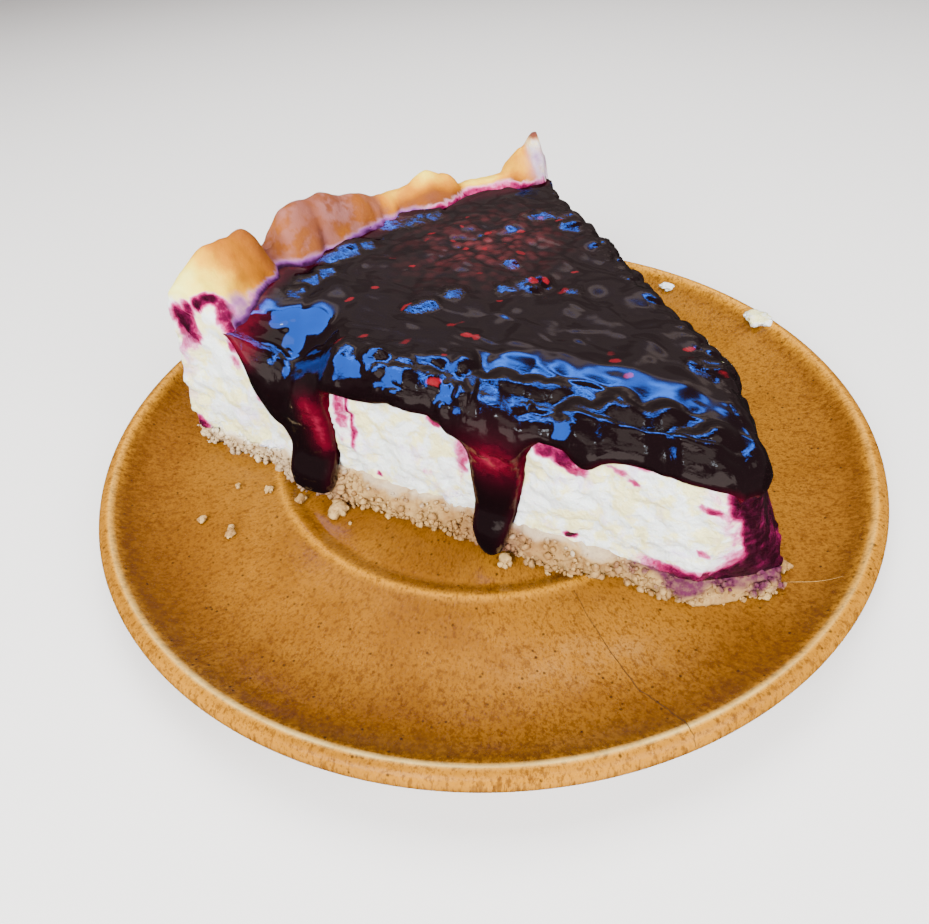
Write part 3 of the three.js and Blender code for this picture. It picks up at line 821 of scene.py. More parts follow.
@dataclass(frozen=True)
class BerryJam:
    """Wet cooked-berry jam: nearly black where thick, crimson where thin, with a mirror skin."""

    deep: tuple = (0.0034, 0.0013, 0.0018)
    wine: tuple = (0.020, 0.0011, 0.0040)
    crimson: tuple = (0.075, 0.0018, 0.0085)
    light: tuple = (0.26, 0.010, 0.040)
    pulp: tuple = (0.080, 0.012, 0.015)
    skin: tuple = (0.14, 0.0035, 0.0085)
    roughness: float = 0.028

    def build(self) -> bpy.types.Material:
        """The topping's material. It reads `thin`, `pulp`, `fleck`, `torn` and `satin`."""
        t = Tree("berry_jam")
        wander = t.minus(t.noise(0.45, 4, 0.6), 0.5)
        thin = t.frayed("thin", wander, 0.7, 0.03, 0.4)
        colour = t.ramp(thin, [(0.0, self.deep), (0.35, self.wine), (0.7, self.crimson), (1.0, self.light)])
        colour = t.blend(t.paint("pulp"), colour, self.pulp)
        torn = t.plus(t.paint("fleck"), t.times(wander, 0.9), clamp=True)
        colour = t.blend(t.times(t.step(torn, 0.30, 0.60), t.step(t.paint("fleck"), 0.1, 0.9)), colour,
                         self.skin)
        wet = t.step(t.noise(0.25, 3), 0.3, 0.75, self.roughness, self.roughness + 0.05)
        t.set(Base_Color=colour, Roughness=t.plus(wet, t.times(t.paint("satin"), 0.11)))
        t.set(IOR=1.37)
        slant = t.stretch(t.place, (1.0, 1.0, 1.0), turn=0.65)
        waves = t.noise(0.16, 3, 0.5, vector=t.stretch(slant, (0.4, 1.0, 1.0)))
        ripple = t.plus(waves, t.times(t.noise(0.8, 2), 0.05))
        shred = t.noise(0.55, 4, 0.62, 0.5, vector=t.stretch(slant, (0.6, 1.0, 1.0)))
        shred = t.times(shred, t.paint("torn"))
        t.set(Normal=t.bump(shred, 0.45, 0.45, below=t.bump(ripple, 0.13, 0.42)))
        return t.material


@dataclass(frozen=True)
class BiscuitCrumb:
    """Pressed biscuit crumbs: pale, dry and rough, with painted shade in the pores, purple where juice
    soaked in.
    """

    pale: tuple = (0.46, 0.30, 0.118)
    toast: tuple = (0.24, 0.118, 0.036)
    pore_shade: tuple = (0.08, 0.034, 0.013)
    cream: tuple = (0.84, 0.82, 0.68)

    def build(self) -> bpy.types.Material:
        """The crumbs' material. It reads the attributes `shade`, `tone`, `cream` and `juice`."""
        t = Tree("biscuit_crumb")
        grain = t.noise(0.8, 4, 0.65)
        colour = t.blend(t.step(grain, 0.42, 0.66, 0.0, 0.75), self.pale, self.toast)
        colour = t.blend(t.paint("shade"), colour, self.toast)
        colour = t.blend(t.step(t.paint("tone"), 0.72, 0.98, 0.0, 0.8), colour, self.toast)
        colour = t.blend(t.times(t.paint("cream"), 0.75), colour, self.cream)
        # Painted shade in the pores.
        colour = t.blend(t.step(t.noise(2.2, 3, 0.6), 0.62, 0.74, 0.0, 0.5), colour, self.pore_shade)
        juice = t.times(t.paint("juice"), t.step(grain, 0.25, 0.6, 0.7, 1.0))
        colour = t.blend(juice, colour, (0.075, 0.008, 0.045))
        t.set(Base_Color=colour, Roughness=0.88, IOR=1.4)
        t.set(Normal=t.bump(t.noise(1.8, 4, 0.7), 0.7, 0.28))
        return t.material


def plain_material(name: str, colour: tuple, roughness: float) -> bpy.types.Material:
    """A single-coloured material for the stage."""
    t = Tree(name)
    t.set(Base_Color=colour, Roughness=roughness)
    return t.material


# Pieces.


@dataclass
class Plate:
    """The round plate: a sunk well, a ring where it steps up, a deck that curls up, a rounded lip."""

    radius: float = 85.0
    height: float = 12.9
    lip: float = 2.2
    inner: float = 81.4
    well: float = 48.0
    around: int = 320
    foot: tuple = (
        # radius and height down the underside, from beside the lip to the middle
        (78, 6.2), (70, 4.1), (60, 3.2), (52.4, 2.9), (51, 2.5), (50.2, 1.2), (49.8, 0.3), (49.2, 0),
        (47, 0), (46.4, 0.3), (46, 1), (45.4, 2.3), (30, 2.3), (0, 2.3),
    )
    cracked: tuple = (
        # x and y along the hairline crack
        (13.8, -48.1), (15.4, -54.8), (17.6, -61.2), (20.8, -69.2), (23.5, -73.8), (25, -77.1),
        (25.4, -79.6), (25.6, -81),
    )

    def deck(self, r: Number) -> Number:
        """Height of the upper face: an S-step at the well, then a fifth-power curl to the lip."""
        rise = np.clip((r - 50.0) / (self.inner - 50.0), 0, 1)
        return lerp(5.2, 6.5, smooth(self.well - 4, self.well, r)) + 5.4 * rise ** 5

    def upper(self, r: Number) -> Number:
        """Height of the upper face with the lip: the deck, a short slope, then the lip's circle."""
        arc = self.height - self.lip + self.lip * dome((r - self.radius + self.lip) / self.lip)
        slope = self.deck(self.inner) + 0.95 * (r - self.inner)
        return np.where(r < self.inner, self.deck(r), np.minimum(arc, slope))

    def profile(self) -> Array:
        """The outline of half the plate's section, from the middle of the top to that of the foot."""
        r = np.concatenate([np.linspace(0, 42, 16), np.linspace(43, 50, 29)[:-1],
                            np.linspace(50, self.inner, 46)])
        ring = 0.22 * bell(r, self.well + 0.2, 1.1) - 0.10 * bell(r, self.well - 3.8, 1.2)
        top = np.stack([r, self.deck(r) + ring], axis=1)
        turn = np.radians(np.linspace(100, -52, 22))
        arc = np.stack([self.radius - self.lip + self.lip * np.cos(turn),
                        self.height - self.lip + self.lip * np.sin(turn)], axis=1)
        foot = np.array(self.foot)
        number = np.arange(len(foot))
        steps = np.concatenate([np.arange(0, 4, 0.25), number[4:]])
        under = np.stack([np.interp(steps, number, foot[:, k]) for k in (0, 1)], axis=1)
        return np.concatenate([top, arc, under])

    def skin(self) -> Skin:
        """The profile turned round the Z axis, closed at both poles."""
        line = self.profile()
        turn = np.linspace(0, 2 * math.pi, self.around, endpoint=False)
        body = line[1:-1]
        r = body[:, 0, None] + 0 * turn
        wave = 0.12 * np.sin(3 * turn + 0.7) * smooth(60, 84, r)
        z = body[:, 1, None] + wave * (r < 84.9)
        rings = np.stack([r * np.cos(turn), r * np.sin(turn), z], axis=-1)
        skin = ringed(rings, np.array([0, 0, line[0, 1]]), np.array([0, 0, line[-1, 1]]))
        self.dress(skin)
        return skin

    def dress(self, skin: Skin) -> None:
        """Paints rust streaks with painted shade, golden glaze with painted highlights, a painted sheen,
        and the pale edge of the lip with a painted highlight.
        """
        x, y, up = skin.points.T
        rad, turn = np.hypot(x, y), np.arctan2(y, x)
        degrees = np.degrees(turn)
        above = up > self.deck(rad) - 0.8
        lip = (up > 11.2) * (rad > 80)
        uneven = 0.35 * line_noise(turn * 7, 5) + 0.2 * line_noise(turn * 21, 6)

        # Darker towards the lip, the glaze's own rust, and painted shade: less at the back, more at the
        # front left, in a patch at the front right, at both sides and in the well under the slice.
        deck = 0.42 * smooth(62, 76, rad) * (1 - 0.55 * np.cos(turn - 1.2)) + 0.22 * smooth(47, 40, rad)
        deck = deck + 0.16 * bell(degrees, -55.0, 30.0) * bell(rad, 55.0, 9.0)
        sides = bell(degrees, -10.0, 22.0) + 0.6 * smooth(150, 172, np.abs(degrees))
        deck = deck + 0.18 * sides * smooth(56, 66, rad)
        # Painted shade in the hollow inside the lip, with some pooled glaze, and just inside the well's
        # step.
        pooling_and_shade = 0.28 * bell(rad, 79.8 + uneven, 1.9) + 0.35 * bell(rad, 45.6, 1.3)
        # Painted shade on the outside of the lip, darker towards the bottom.
        outside = 0.60 * smooth(84.0, 84.9, rad) * smooth(11.8, 9.4, up)
        skin.dye("brown", (deck + pooling_and_shade) * above * (rad < 81.6) + outside)

        # Golden glaze on the lip, and painted highlights: a halo round its sharp edge, a bright line on the
        # well's edge, a lighter sector at the back and the upper outside of the lip.
        gold = 0.95 * bell(rad, 82.0 + 0.4 * uneven, 1.0) * lip
        gold = gold + 0.55 * bell(rad, self.well + 0.3, 0.9) * above
        gold = gold + 0.35 * bell(degrees, 60.0, 45.0) * smooth(50, 60, rad) * above
        skin.dye("gold", gold + 0.28 * smooth(83.0, 84.4, rad) * smooth(9.4, 11.4, up))

        # The pale sharp edge of the lip: a glaze break and a painted highlight, strongest at the front.
        front = 0.05 + 0.85 * bell(degrees, -98.0, 48.0)
        broken = 0.72 + 0.28 * line_noise(turn * 30, 8)
        skin.dye("arris", 1.1 * bell(rad, 82.3 + 0.2 * uneven, 0.30) * lip * front * broken)
        # A painted reflection: a pale patch of sheen on the deck in front of the slice.
        skin.dye("haze", (0.9 - np.hypot((x - 15.0) / 24.0, (y + 63.0) / 8.0)) * above)

    def build(self) -> bpy.types.Object:
        """Makes the plate and puts it in place of its solid."""
        obj = mesh_object("plate_glazed", self.skin(), StonewareGlaze().build())
        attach(obj, BODY)
        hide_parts("plate")
        return obj

    def crack(self) -> bpy.types.Object:
        """A hairline crack: a thin dark thread, five-sided, sunk by half into the face and over the lip."""
        knots = np.array(self.cracked)
        count = 220
        s = np.linspace(0, len(knots) - 1, count)
        x, y = (np.interp(s, np.arange(len(knots)), knots[:, k]) for k in (0, 1))
        x = x + 0.35 * line_noise(s * 2.3, 31) + 0.12 * line_noise(s * 9, 32)
        y = y + 0.25 * line_noise(s * 2.1, 33)
        width = 0.0375 * (1 + np.sin(np.linspace(0.1, 3.04, count)))
        material = plain_material("crack_shadow", (0.05, 0.022, 0.010), 0.7)
        return mesh_object("glaze_crack", tube(self.on_glaze(x, y), width, 5), material)

    def on_glaze(self, x: Array, y: Array) -> Array:
        """Points just over the glaze, above places on the plate."""
        return np.stack([x, y, self.upper(np.hypot(x, y)) + 0.01], axis=1)

    def scratch(self) -> bpy.types.Object:
        """A pale straight scratch beside the tip, sunk by half into the glaze."""
        count = 60
        t = np.linspace(0, 1, count)
        x, y = lerp(51.0, 60.5, t), lerp(-50.4, -52.6, t) + 0.15 * np.sin(7 * t)
        width = 0.06 * np.sin(np.linspace(0.2, 2.9, count))
        material = plain_material("scratch_pale", (0.40, 0.22, 0.06), 0.5)
        return mesh_object("glaze_scratch", tube(self.on_glaze(x, y), width, 5), material)


def tube(path: Array, radius: Array, sides: int) -> Skin:
    """A closed tube along a path, its section turned square to the path.

    Args:
        path: The middle line's points.
        radius: The radius at each point.
        sides: The number of the section's sides.

    Returns:
        The skin.
    """
    along = np.gradient(path, axis=0)
    along /= np.linalg.norm(along, axis=1, keepdims=True)
    side = np.cross(along, [0.0, 0.0, 1.0])
    side /= np.linalg.norm(side, axis=1, keepdims=True)
    up = np.cross(side, along)
    turn = np.linspace(0, 2 * math.pi, sides, endpoint=False)
    circle = np.cos(turn)[:, None] * side[:, None] + np.sin(turn)[:, None] * up[:, None]
    return ringed(path[:, None] + radius[:, None, None] * circle, path[0], path[-1])


@dataclass
class CheeseFilling:
    """The white filling and its tall baked rim."""

    columns: int = 168
    levels: int = 46
    stains: tuple = (
        # place along the near cut, height, half width, half height, strength
        (46.2, 33, 3, 2.6, 0.75), (44, 31, 2.4, 2, 0.5), (49.5, 34, 2.6, 2, 0.6),
        (33.5, 36, 2.6, 1.3, 0.5), (37, 33, 2.8, 0.9, 0.45), (34.5, 31.5, 1.6, 0.8, 0.45),
        (21.7, 30.2, 2, 1.1, 0.55), (44.1, 14.3, 1.5, 0.9, 0.95), (21.2, 19.4, 1.4, 1, 0.45),
        (28, 36.5, 6, 1, 0.6), (71, 33.6, 2.2, 1.6, 0.6), (92.8, 30, 1.9, 8, 0.42),
        (90.5, 27, 0.7, 9, 0.62), (66.3, 27, 1.6, 6, 0.42), (74, 20, 1.5, 1.5, 0.22),
        (86, 14.6, 0.7, 0.8, 0.5), (58, 14, 3, 2, 0.3), (112, 27, 2.5, 3, 0.25),
    )
    spots: tuple = (
        # x, y, z, reach and strength of the juice at the outer end, then how lilac it is
        (-59.8, -0.8, 43.5, 2.6, 0.80, 0), (-57.2, -2.5, 45.2, 1.9, 0.70, 0),
        (-54.7, -3.8, 46.6, 1.5, 0.85, 0), (-52.8, -3.7, 47.6, 1.3, 0.88, 0),
        (-51.3, -3.5, 47.5, 1.3, 0.85, 0), (-49.8, -3.6, 46.4, 1.4, 0.75, 0),
        (-59.6, -0.8, 41.4, 3.4, 0.86, 0), (-58.9, -1.8, 39.2, 2.8, 0.74, 0),
        (-60.4, -0.8, 36.9, 2.8, 0.58, 0.3), (-62.4, 0.3, 33.4, 2.8, 0.42, 0.5),
        (-64.2, 0.9, 28.6, 3.2, 0.34, 0.6), (-65.6, 2, 22.4, 3.2, 0.30, 0.6),
        (-65.4, 1.7, 13.4, 2.4, 0.80, 0), (-49, -4.6, 44.4, 2.5, 0.64, 0),
        (-48.3, -4.8, 42, 2.6, 0.66, 0), (-49.3, -6.2, 38.2, 1.9, 0.55, 0),
        (-50.3, -5.9, 34.2, 1.8, 0.34, 0), (-47.4, -1.2, 45.2, 2.8, 0.50, 0.75),
        (-46.4, -2.2, 43, 2.8, 0.55, 0.75), (-45, 2.4, 43.9, 2, 0.55, 0.4),
        (21.7, 56.6, 45.3, 2.6, 0.22, 0.3), (20.6, 56, 48, 5.5, 0.34, 1),
    )
    crust: tuple = (
        # direction, tone low at the jam, tone at the crest, lilac bloom; the palest tones by the near cut
        # are partly a painted highlight
        (103.4, 0.30, 0.20, 0.2), (104.6, 0.36, 0.32, 0.1), (106.4, 0.42, 0.36, 0),
        (108.4, 0.60, 0.28, 0), (110.5, 0.60, 0.20, 0), (113.5, 0.58, 0.20, 0), (116, 0.64, 0.32, 0),
        (118.2, 0.68, 0.26, 0), (120, 0.72, 0.14, 0), (121.8, 0.62, 0.34, 0), (123.6, 0.70, 0.22, 0.1),
        (125, 0.76, 0.36, 0.2), (126.6, 0.80, 0.62, 0.3), (128.6, 0.66, 0.66, 0.3),
        (130.5, 0.58, 0.74, 0.7), (133, 0.58, 0.76, 0.7), (134.8, 0.82, 0.78, 0.2),
        (136.4, 0.66, 0.72, 0.5), (138.4, 0.64, 0.66, 0.5), (139.8, 0.70, 0.66, 0.4),
        (140.4, 0.90, 0.84, 0.3), (141.4, 0.66, 0.60, 0), (143, 0.54, 0.58, 0), (144.6, 0.44, 0.52, 0),
        (146.2, 0.26, 0.44, 0), (148, 0.18, 0.26, 0), (149.6, 0.13, 0.10, 0), (151.8, 0.10, 0.02, 0),
    )
    creases: tuple = (
        # direction, depth, half width in degrees
        (140.3, 1.7, 0.9), (134.8, 1.1, 0.45), (128.6, 0.35, 0.5), (124, 1.2, 0.6), (121.9, 0.4, 0.5),
        (116.2, 0.8, 0.8), (109.2, 1, 0.8), (145.6, 0.3, 0.9), (149.6, 0.5, 0.6), (126.4, 0.5, 0.3),
        (127.6, 0.4, 0.25),
    )

    def skin(self) -> Skin:
        """A top grid of radius and direction, walls hung from its border, a point underneath."""
        s = SLICE
        hidden = np.linspace(0, 1, 150, endpoint=False)
        rim_start = s.crest[-1][2] - 2.0
        slope = np.linspace(rim_start, s.rim_crest_radius, 40)
        bead = s.cake_radius - s.rim_crest_radius
        edge = s.rim_crest_radius + bead * np.sin(np.linspace(0, math.pi / 2, 13)[1:])
        outer = np.concatenate([slope, edge])
        rows = len(hidden) + len(outer) - 1
        angle = lerp(s.far, s.near, np.linspace(0, 1, self.columns + 1))
        share = np.concatenate([hidden, np.ones(len(outer))])
        tail = np.concatenate([np.zeros(len(hidden)), outer - rim_start])

        def radius(i: Array, a: Array, z: Number) -> Array:
            """The radius at a row, direction and height."""
            return lerp(s.tip_at(a, z), rim_start, share[i]) + tail[i]

        ii, jj = np.meshgrid(np.arange(rows + 1), np.arange(self.columns + 1), indexing="ij")
        a = angle[jj]
        rho = radius(ii, a, s.filling_top)
        top = s.place(rho, a, s.filling_at(rho, a))
        bi, bj = border_of(rows, self.columns)
        ba = angle[bj]
        crown = top[bi, bj, 2]
        cut = np.where(bj == 0, -1, np.where(bj == self.columns, 1, 0))
        cut[0] = -1
        on_rim = np.clip(tail[bi] / (s.cake_radius - rim_start), 0, 1)
        rings = []
        for level in np.linspace(1, 0, self.levels + 1)[1:]:
            z = lerp(s.filling_bottom - 0.6, crown, level)
            r = radius(bi, ba, z) + on_rim ** 2 * s.flare(z)
            r = r + np.where(bi == rows, 0.7 * value_noise(ba * 20, z / 9, 6), 0)
            rings.append(s.place(r, ba, z, cut * self.relief(r, z, cut) * min(1, 6 * (1 - level))))
        skin, _ = capped_skin(top, np.array(rings), s.middle(s.filling_bottom - 0.6))
        self.lumps(skin)
        self.dress(skin)
        return skin

    @staticmethod
    def relief(rho: Array, z: Array, cut: Array) -> Array:
        """Roughness of the cut cheese: soft curds, finer crumbs of curd, slanting tears and pits.

        Args:
            rho: Distance along the cut.
            z: Height.
            cut: -1 on the far cut and 1 on the near cut.

        Returns:
            How far each point stands out.
        """
        seed = np.where(cut < 0, -1, 1)
        soft = 0.35 * value_noise(rho / 7, z / 7, seed)
        p = np.stack(np.broadcast_arrays(rho, z, 7.0 * cut), axis=-1)
        curds = 0.62 * swirl(p, 4.6, 41, 3) + 0.22 * dome(pebbles(p, 2.1, 42)[0] / 0.7)
        tears = np.abs(swirl(slanted(p, 0.82, 0.57, (0.6, 1.1, 1.0)), 5.5, 44, 2))
        pits = np.clip(pebbles(p, 3.1, 45)[0] - 0.62, 0, 1)
        return soft + 1.25 * curds - 0.45 * np.clip(0.16 - tears, 0, 1) / 0.16 - 1.9 * pits

    def lumps(self, skin: Skin) -> None:
        """Swells, lobes and creases of the baked rim, pushed along the normals."""
        p = skin.points
        rho, angle = SLICE.polar(p)
        degrees = np.degrees(angle)
        crest, foot = SLICE.rim(angle)
        rim = smooth(foot - 1, foot + 4, rho) * smooth(34, 42, p[:, 2])
        outside = smooth(124, 130, rho)
        soft = 0.7 * swirl(p, 9.0, 51, 2) + 0.22 * swirl(p, 3.0, 55, 2)
        up = np.clip((p[:, 2] - 38) / np.maximum(crest - 38, 1), 0, 1)
        lobe = 1.3 * smooth(0.0, 0.4, up) * smooth(1.0, 0.55, up) * smooth(127, 124, rho)
        bent = degrees + 0.9 * (up - 0.5) + 0.3 * swirl(p, 4.0, 56)
        fold = np.zeros(len(p))
        for at, depth, width in self.creases:
            low = 1 if depth > 1.5 else 1 - 0.9 * smooth(0.5, 0.9, up)
            fold = np.maximum(fold, depth * low * bell(bent, at, width))
        swell = soft + lobe - fold * smooth(131, 127, rho)
        jam = SLICE.jam_level(rho, angle)
        swell = lerp(np.maximum(swell, 0.2), swell, smooth(jam + 0.3, jam + 3.0, p[:, 2]))
        inside = (smooth(0.2, 3.0, SLICE.in_far(rho, angle))
                  * lerp(0.35, 1.0, smooth(0.0, 2.0, SLICE.in_near(rho, angle))))
        skin.push(np.maximum(rim, 0.8 * outside) * swell * inside)

    def dress(self, skin: Skin) -> None:
        """Paints the rim's crust, then the juice on the cuts and beside the jam."""
        wobble = swirl(skin.points, 6.0, 61, 2)
        self.bake(skin, wobble)
        self.stain(skin, wobble)

    def bake(self, skin: Skin, wobble: Array) -> None:
        """Paints where the cheese has a `rind`, its crust's tone `baked` from lemon to dark with a painted
        highlight where it turns pale by the near cut, and its lilac `bloom`.
        """
        s = SLICE
        p = skin.points
        rho, angle = s.polar(p)
        degrees, z = np.degrees(angle), p[:, 2]
        crest, foot = s.rim(angle)
        out_near, out_far = -s.in_near(rho, angle), -s.in_far(rho, angle)
        skirt = smooth(20, 36, z + 5 * wobble)
        rind = smooth(foot - 5, foot - 1.5, rho) * smooth(33, 40, z + 2 * wobble)
        rind = np.maximum(rind, smooth(126.5, 128.5, rho) * lerp(0.55, 1, skirt))
        on_cut = smooth(-1.1, -0.3, np.maximum(out_near, out_far)) * smooth(1.0, 3.2, crest - z)
        side = degrees + 0.25 * wobble + 0.13 * np.clip(48 - z, 0, 4)
        tooth = smooth(106.7, 106.0, side) * smooth(53.4, 52.2, z) * smooth(129, 127, rho)
        skin.dye("rind", rind * (1 - on_cut) * (1 - 0.9 * tooth))
        at, low, high, bloom = (np.array(c) for c in zip(*self.crust))
        along = degrees + 0.35 * swirl(p, 4.0, 62)
        jam = s.jam_level(rho, angle)
        right = smooth(126, 122, degrees) * smooth(107, 109, degrees)
        whole = (z - 38) / np.maximum(crest - 38, 1)
        shown = lerp(whole, (z - jam + 0.3) / np.maximum(crest - jam, 1), right)
        up = smooth(lerp(0.25, 0.45, right), lerp(0.85, 1.0, right), shown + 0.12 * wobble)
        # The crust's own colour, and a painted highlight where the lobe by the near cut turns pale lemon.
        tone = lerp(np.interp(along, at, low), np.interp(along, at, high), up)
        tone = tone + 0.5 * smooth(52.6, 54.2, z) * (degrees < 108) - 0.22 * smooth(46, 36, z) * (rho > 124)
        skin.dye("baked", tone + 0.05 * swirl(p, 7.0, 63, 2))
        skin.dye("bloom", np.interp(along, at, bloom) * (1 + 0.5 * swirl(p, 3.0, 64, 2)))

    def stain(self, skin: Skin, wobble: Array) -> None:
        """Paints the `juice`: single stains, a blush under the jam, the wet tip; and the lilac `seam`, with
        painted shade in the deep crease.
        """
        s = SLICE
        p = skin.points
        rho, angle = s.polar(p)
        degrees, z = np.degrees(angle), p[:, 2]
        out_near, out_far = -s.in_near(rho, angle), -s.in_far(rho, angle)
        juice = [np.zeros(len(p))]
        near = smooth(-1.4, -0.7, out_near)
        ragged = 0.35 * swirl(p, 2.6, 65, 2)
        for at, height, wide, tall, strength in self.stains:
            apart = np.hypot((rho - at) / wide, (z - height) / tall)
            juice.append(near * strength * smooth(1.25, 0.35, apart + ragged))
        lilac_spot = np.zeros(len(p))
        for x, y, height, reach, strength, share in self.spots:
            apart = np.linalg.norm(p - [x, y, height], axis=1) / reach + 0.6 * ragged
            here = strength * smooth(1.45, 0.30, apart)
            juice.append((1 - share) * here)
            lilac_spot = np.maximum(lilac_spot, share * here)
        over = np.where(rho > 105, z - s.jam_level(rho, angle) + 0.35 * wobble, 9.0)
        inward = rho < s.rim_crest_radius
        band = smooth(2.3, 0.3, over) * inward * (1 + 0.2 * line_noise(degrees / 2.3, 67))
        lilac = smooth(119, 123, degrees) * smooth(-1.4, -2.4, out_near)
        # Painted shade: the seam's dark purple also runs down the deep crease at 140.3 degrees.
        crease_shade = 0.6 * bell(degrees, 140.3, 0.7) * smooth(51, 43, z) * (rho > 110) * smooth(124, 120, rho)
        skin.dye("seam", np.maximum(0.85 * band * lilac + crease_shade, lilac_spot))
        blush = smooth(1.8, 0.5, over) * inward * smooth(123, 119, degrees) * smooth(-0.4, -1.6, out_far)
        juice.append(np.clip(0.62 * blush * (1 + 0.5 * wobble), 0, 1))
        # The wet tip ends at a ragged line that leans back upwards and turns out at the foot.
        bound = 15.8 + 0.27 * np.clip(z - 20, 0, 20) + 1.2 * np.clip(17.0 - z, 0, 5)
        blotch = swirl(p, 2.6, 68, 2)
        face = s.along_near(rho, angle) + 0.8 * wobble + 0.7 * blotch - bound
        tip = smooth(1.0, -1.5, face)
        juice.append(tip * np.clip(0.93 + 0.22 * blotch, 0, 1))
        juice.append(0.34 * smooth(4.5, 0.0, face) * smooth(26, 18, z))
        juice.append(0.24 * smooth(6.0, 0.5, face) * np.clip(0.7 + blotch, 0, 1))
        juice.append(0.72 * near * smooth(36, 23, rho) * smooth(15.6, 13.8, z + 0.9 * wobble))
        skin.dye("juice", np.maximum.reduce(juice))

    def build(self) -> bpy.types.Object:
        """Makes the filling and puts it in place of its solid."""
        obj = mesh_object("filling_baked", self.skin(), BakedCheese().build())
        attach(obj, BODY)
        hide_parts("cheese_filling")
        return obj


@dataclass
class JamBorder:
    """The jam's border, point by point: its place, the side it lies on, and its lower edge."""

    rho: Array
    angle: Array
    near: Array
    far: Array
    tip: Array
    out: Array
    hangs: Array
    fade: Array
    low: Array
    bulge: Array

    def away(self, z: Array) -> Array:
        """Distance of each ring's points from the outline of the lower edge, on their own side."""
        rho = np.broadcast_to(self.rho, z.shape)
        result = np.full(z.shape, 9.0)
        for side in (self.near, self.far):
            line = np.stack([self.rho[side], self.low[side]], axis=1)
            result = np.where(side, distance_to_line(rho, z, line), result)
        return np.where(self.tip & ~self.near & ~self.far, z - self.low, result)

    def wall(self, z: Array, stand: Array) -> Array:
        """The points at a height that stand off the wall by a distance."""
        point = SLICE.place(np.where(self.tip, SLICE.tip_at(self.angle, z), self.rho), self.angle, z)
        point[..., :2] += self.out * stand[..., None]
        return point

    def thin(self, z: Array, away: Array, crown: Array) -> Array:
        """How thin the jam is: at its lower edge, at the middle run's head, in a streak and the corner.

        Args:
            z: Height of each point.
            away: Its distance from the lower edge.
            crown: The crown's height above it.

        Returns:
            A share from 0 to 1.
        """
        fringe = self.hangs * (z < crown - 3) * lerp(0.25, 1.0, smooth(14, 25, z))
        head = bell(self.rho, 59.0, 6.5) * bell(z, 30.0, 5.0)
        streak = bell(self.rho, 97.4, 2.8) * smooth(16, 21, z) * smooth(36, 31, z)
        corner = smooth(108.5, 112.5, self.rho) * smooth(34, 38, z)
        near = np.maximum(np.maximum(0.85 * head, 0.80 * streak), 0.62 * corner) * self.near
        return np.maximum(0.62 * bell(away, 0.0, 1.0) * fringe, near)


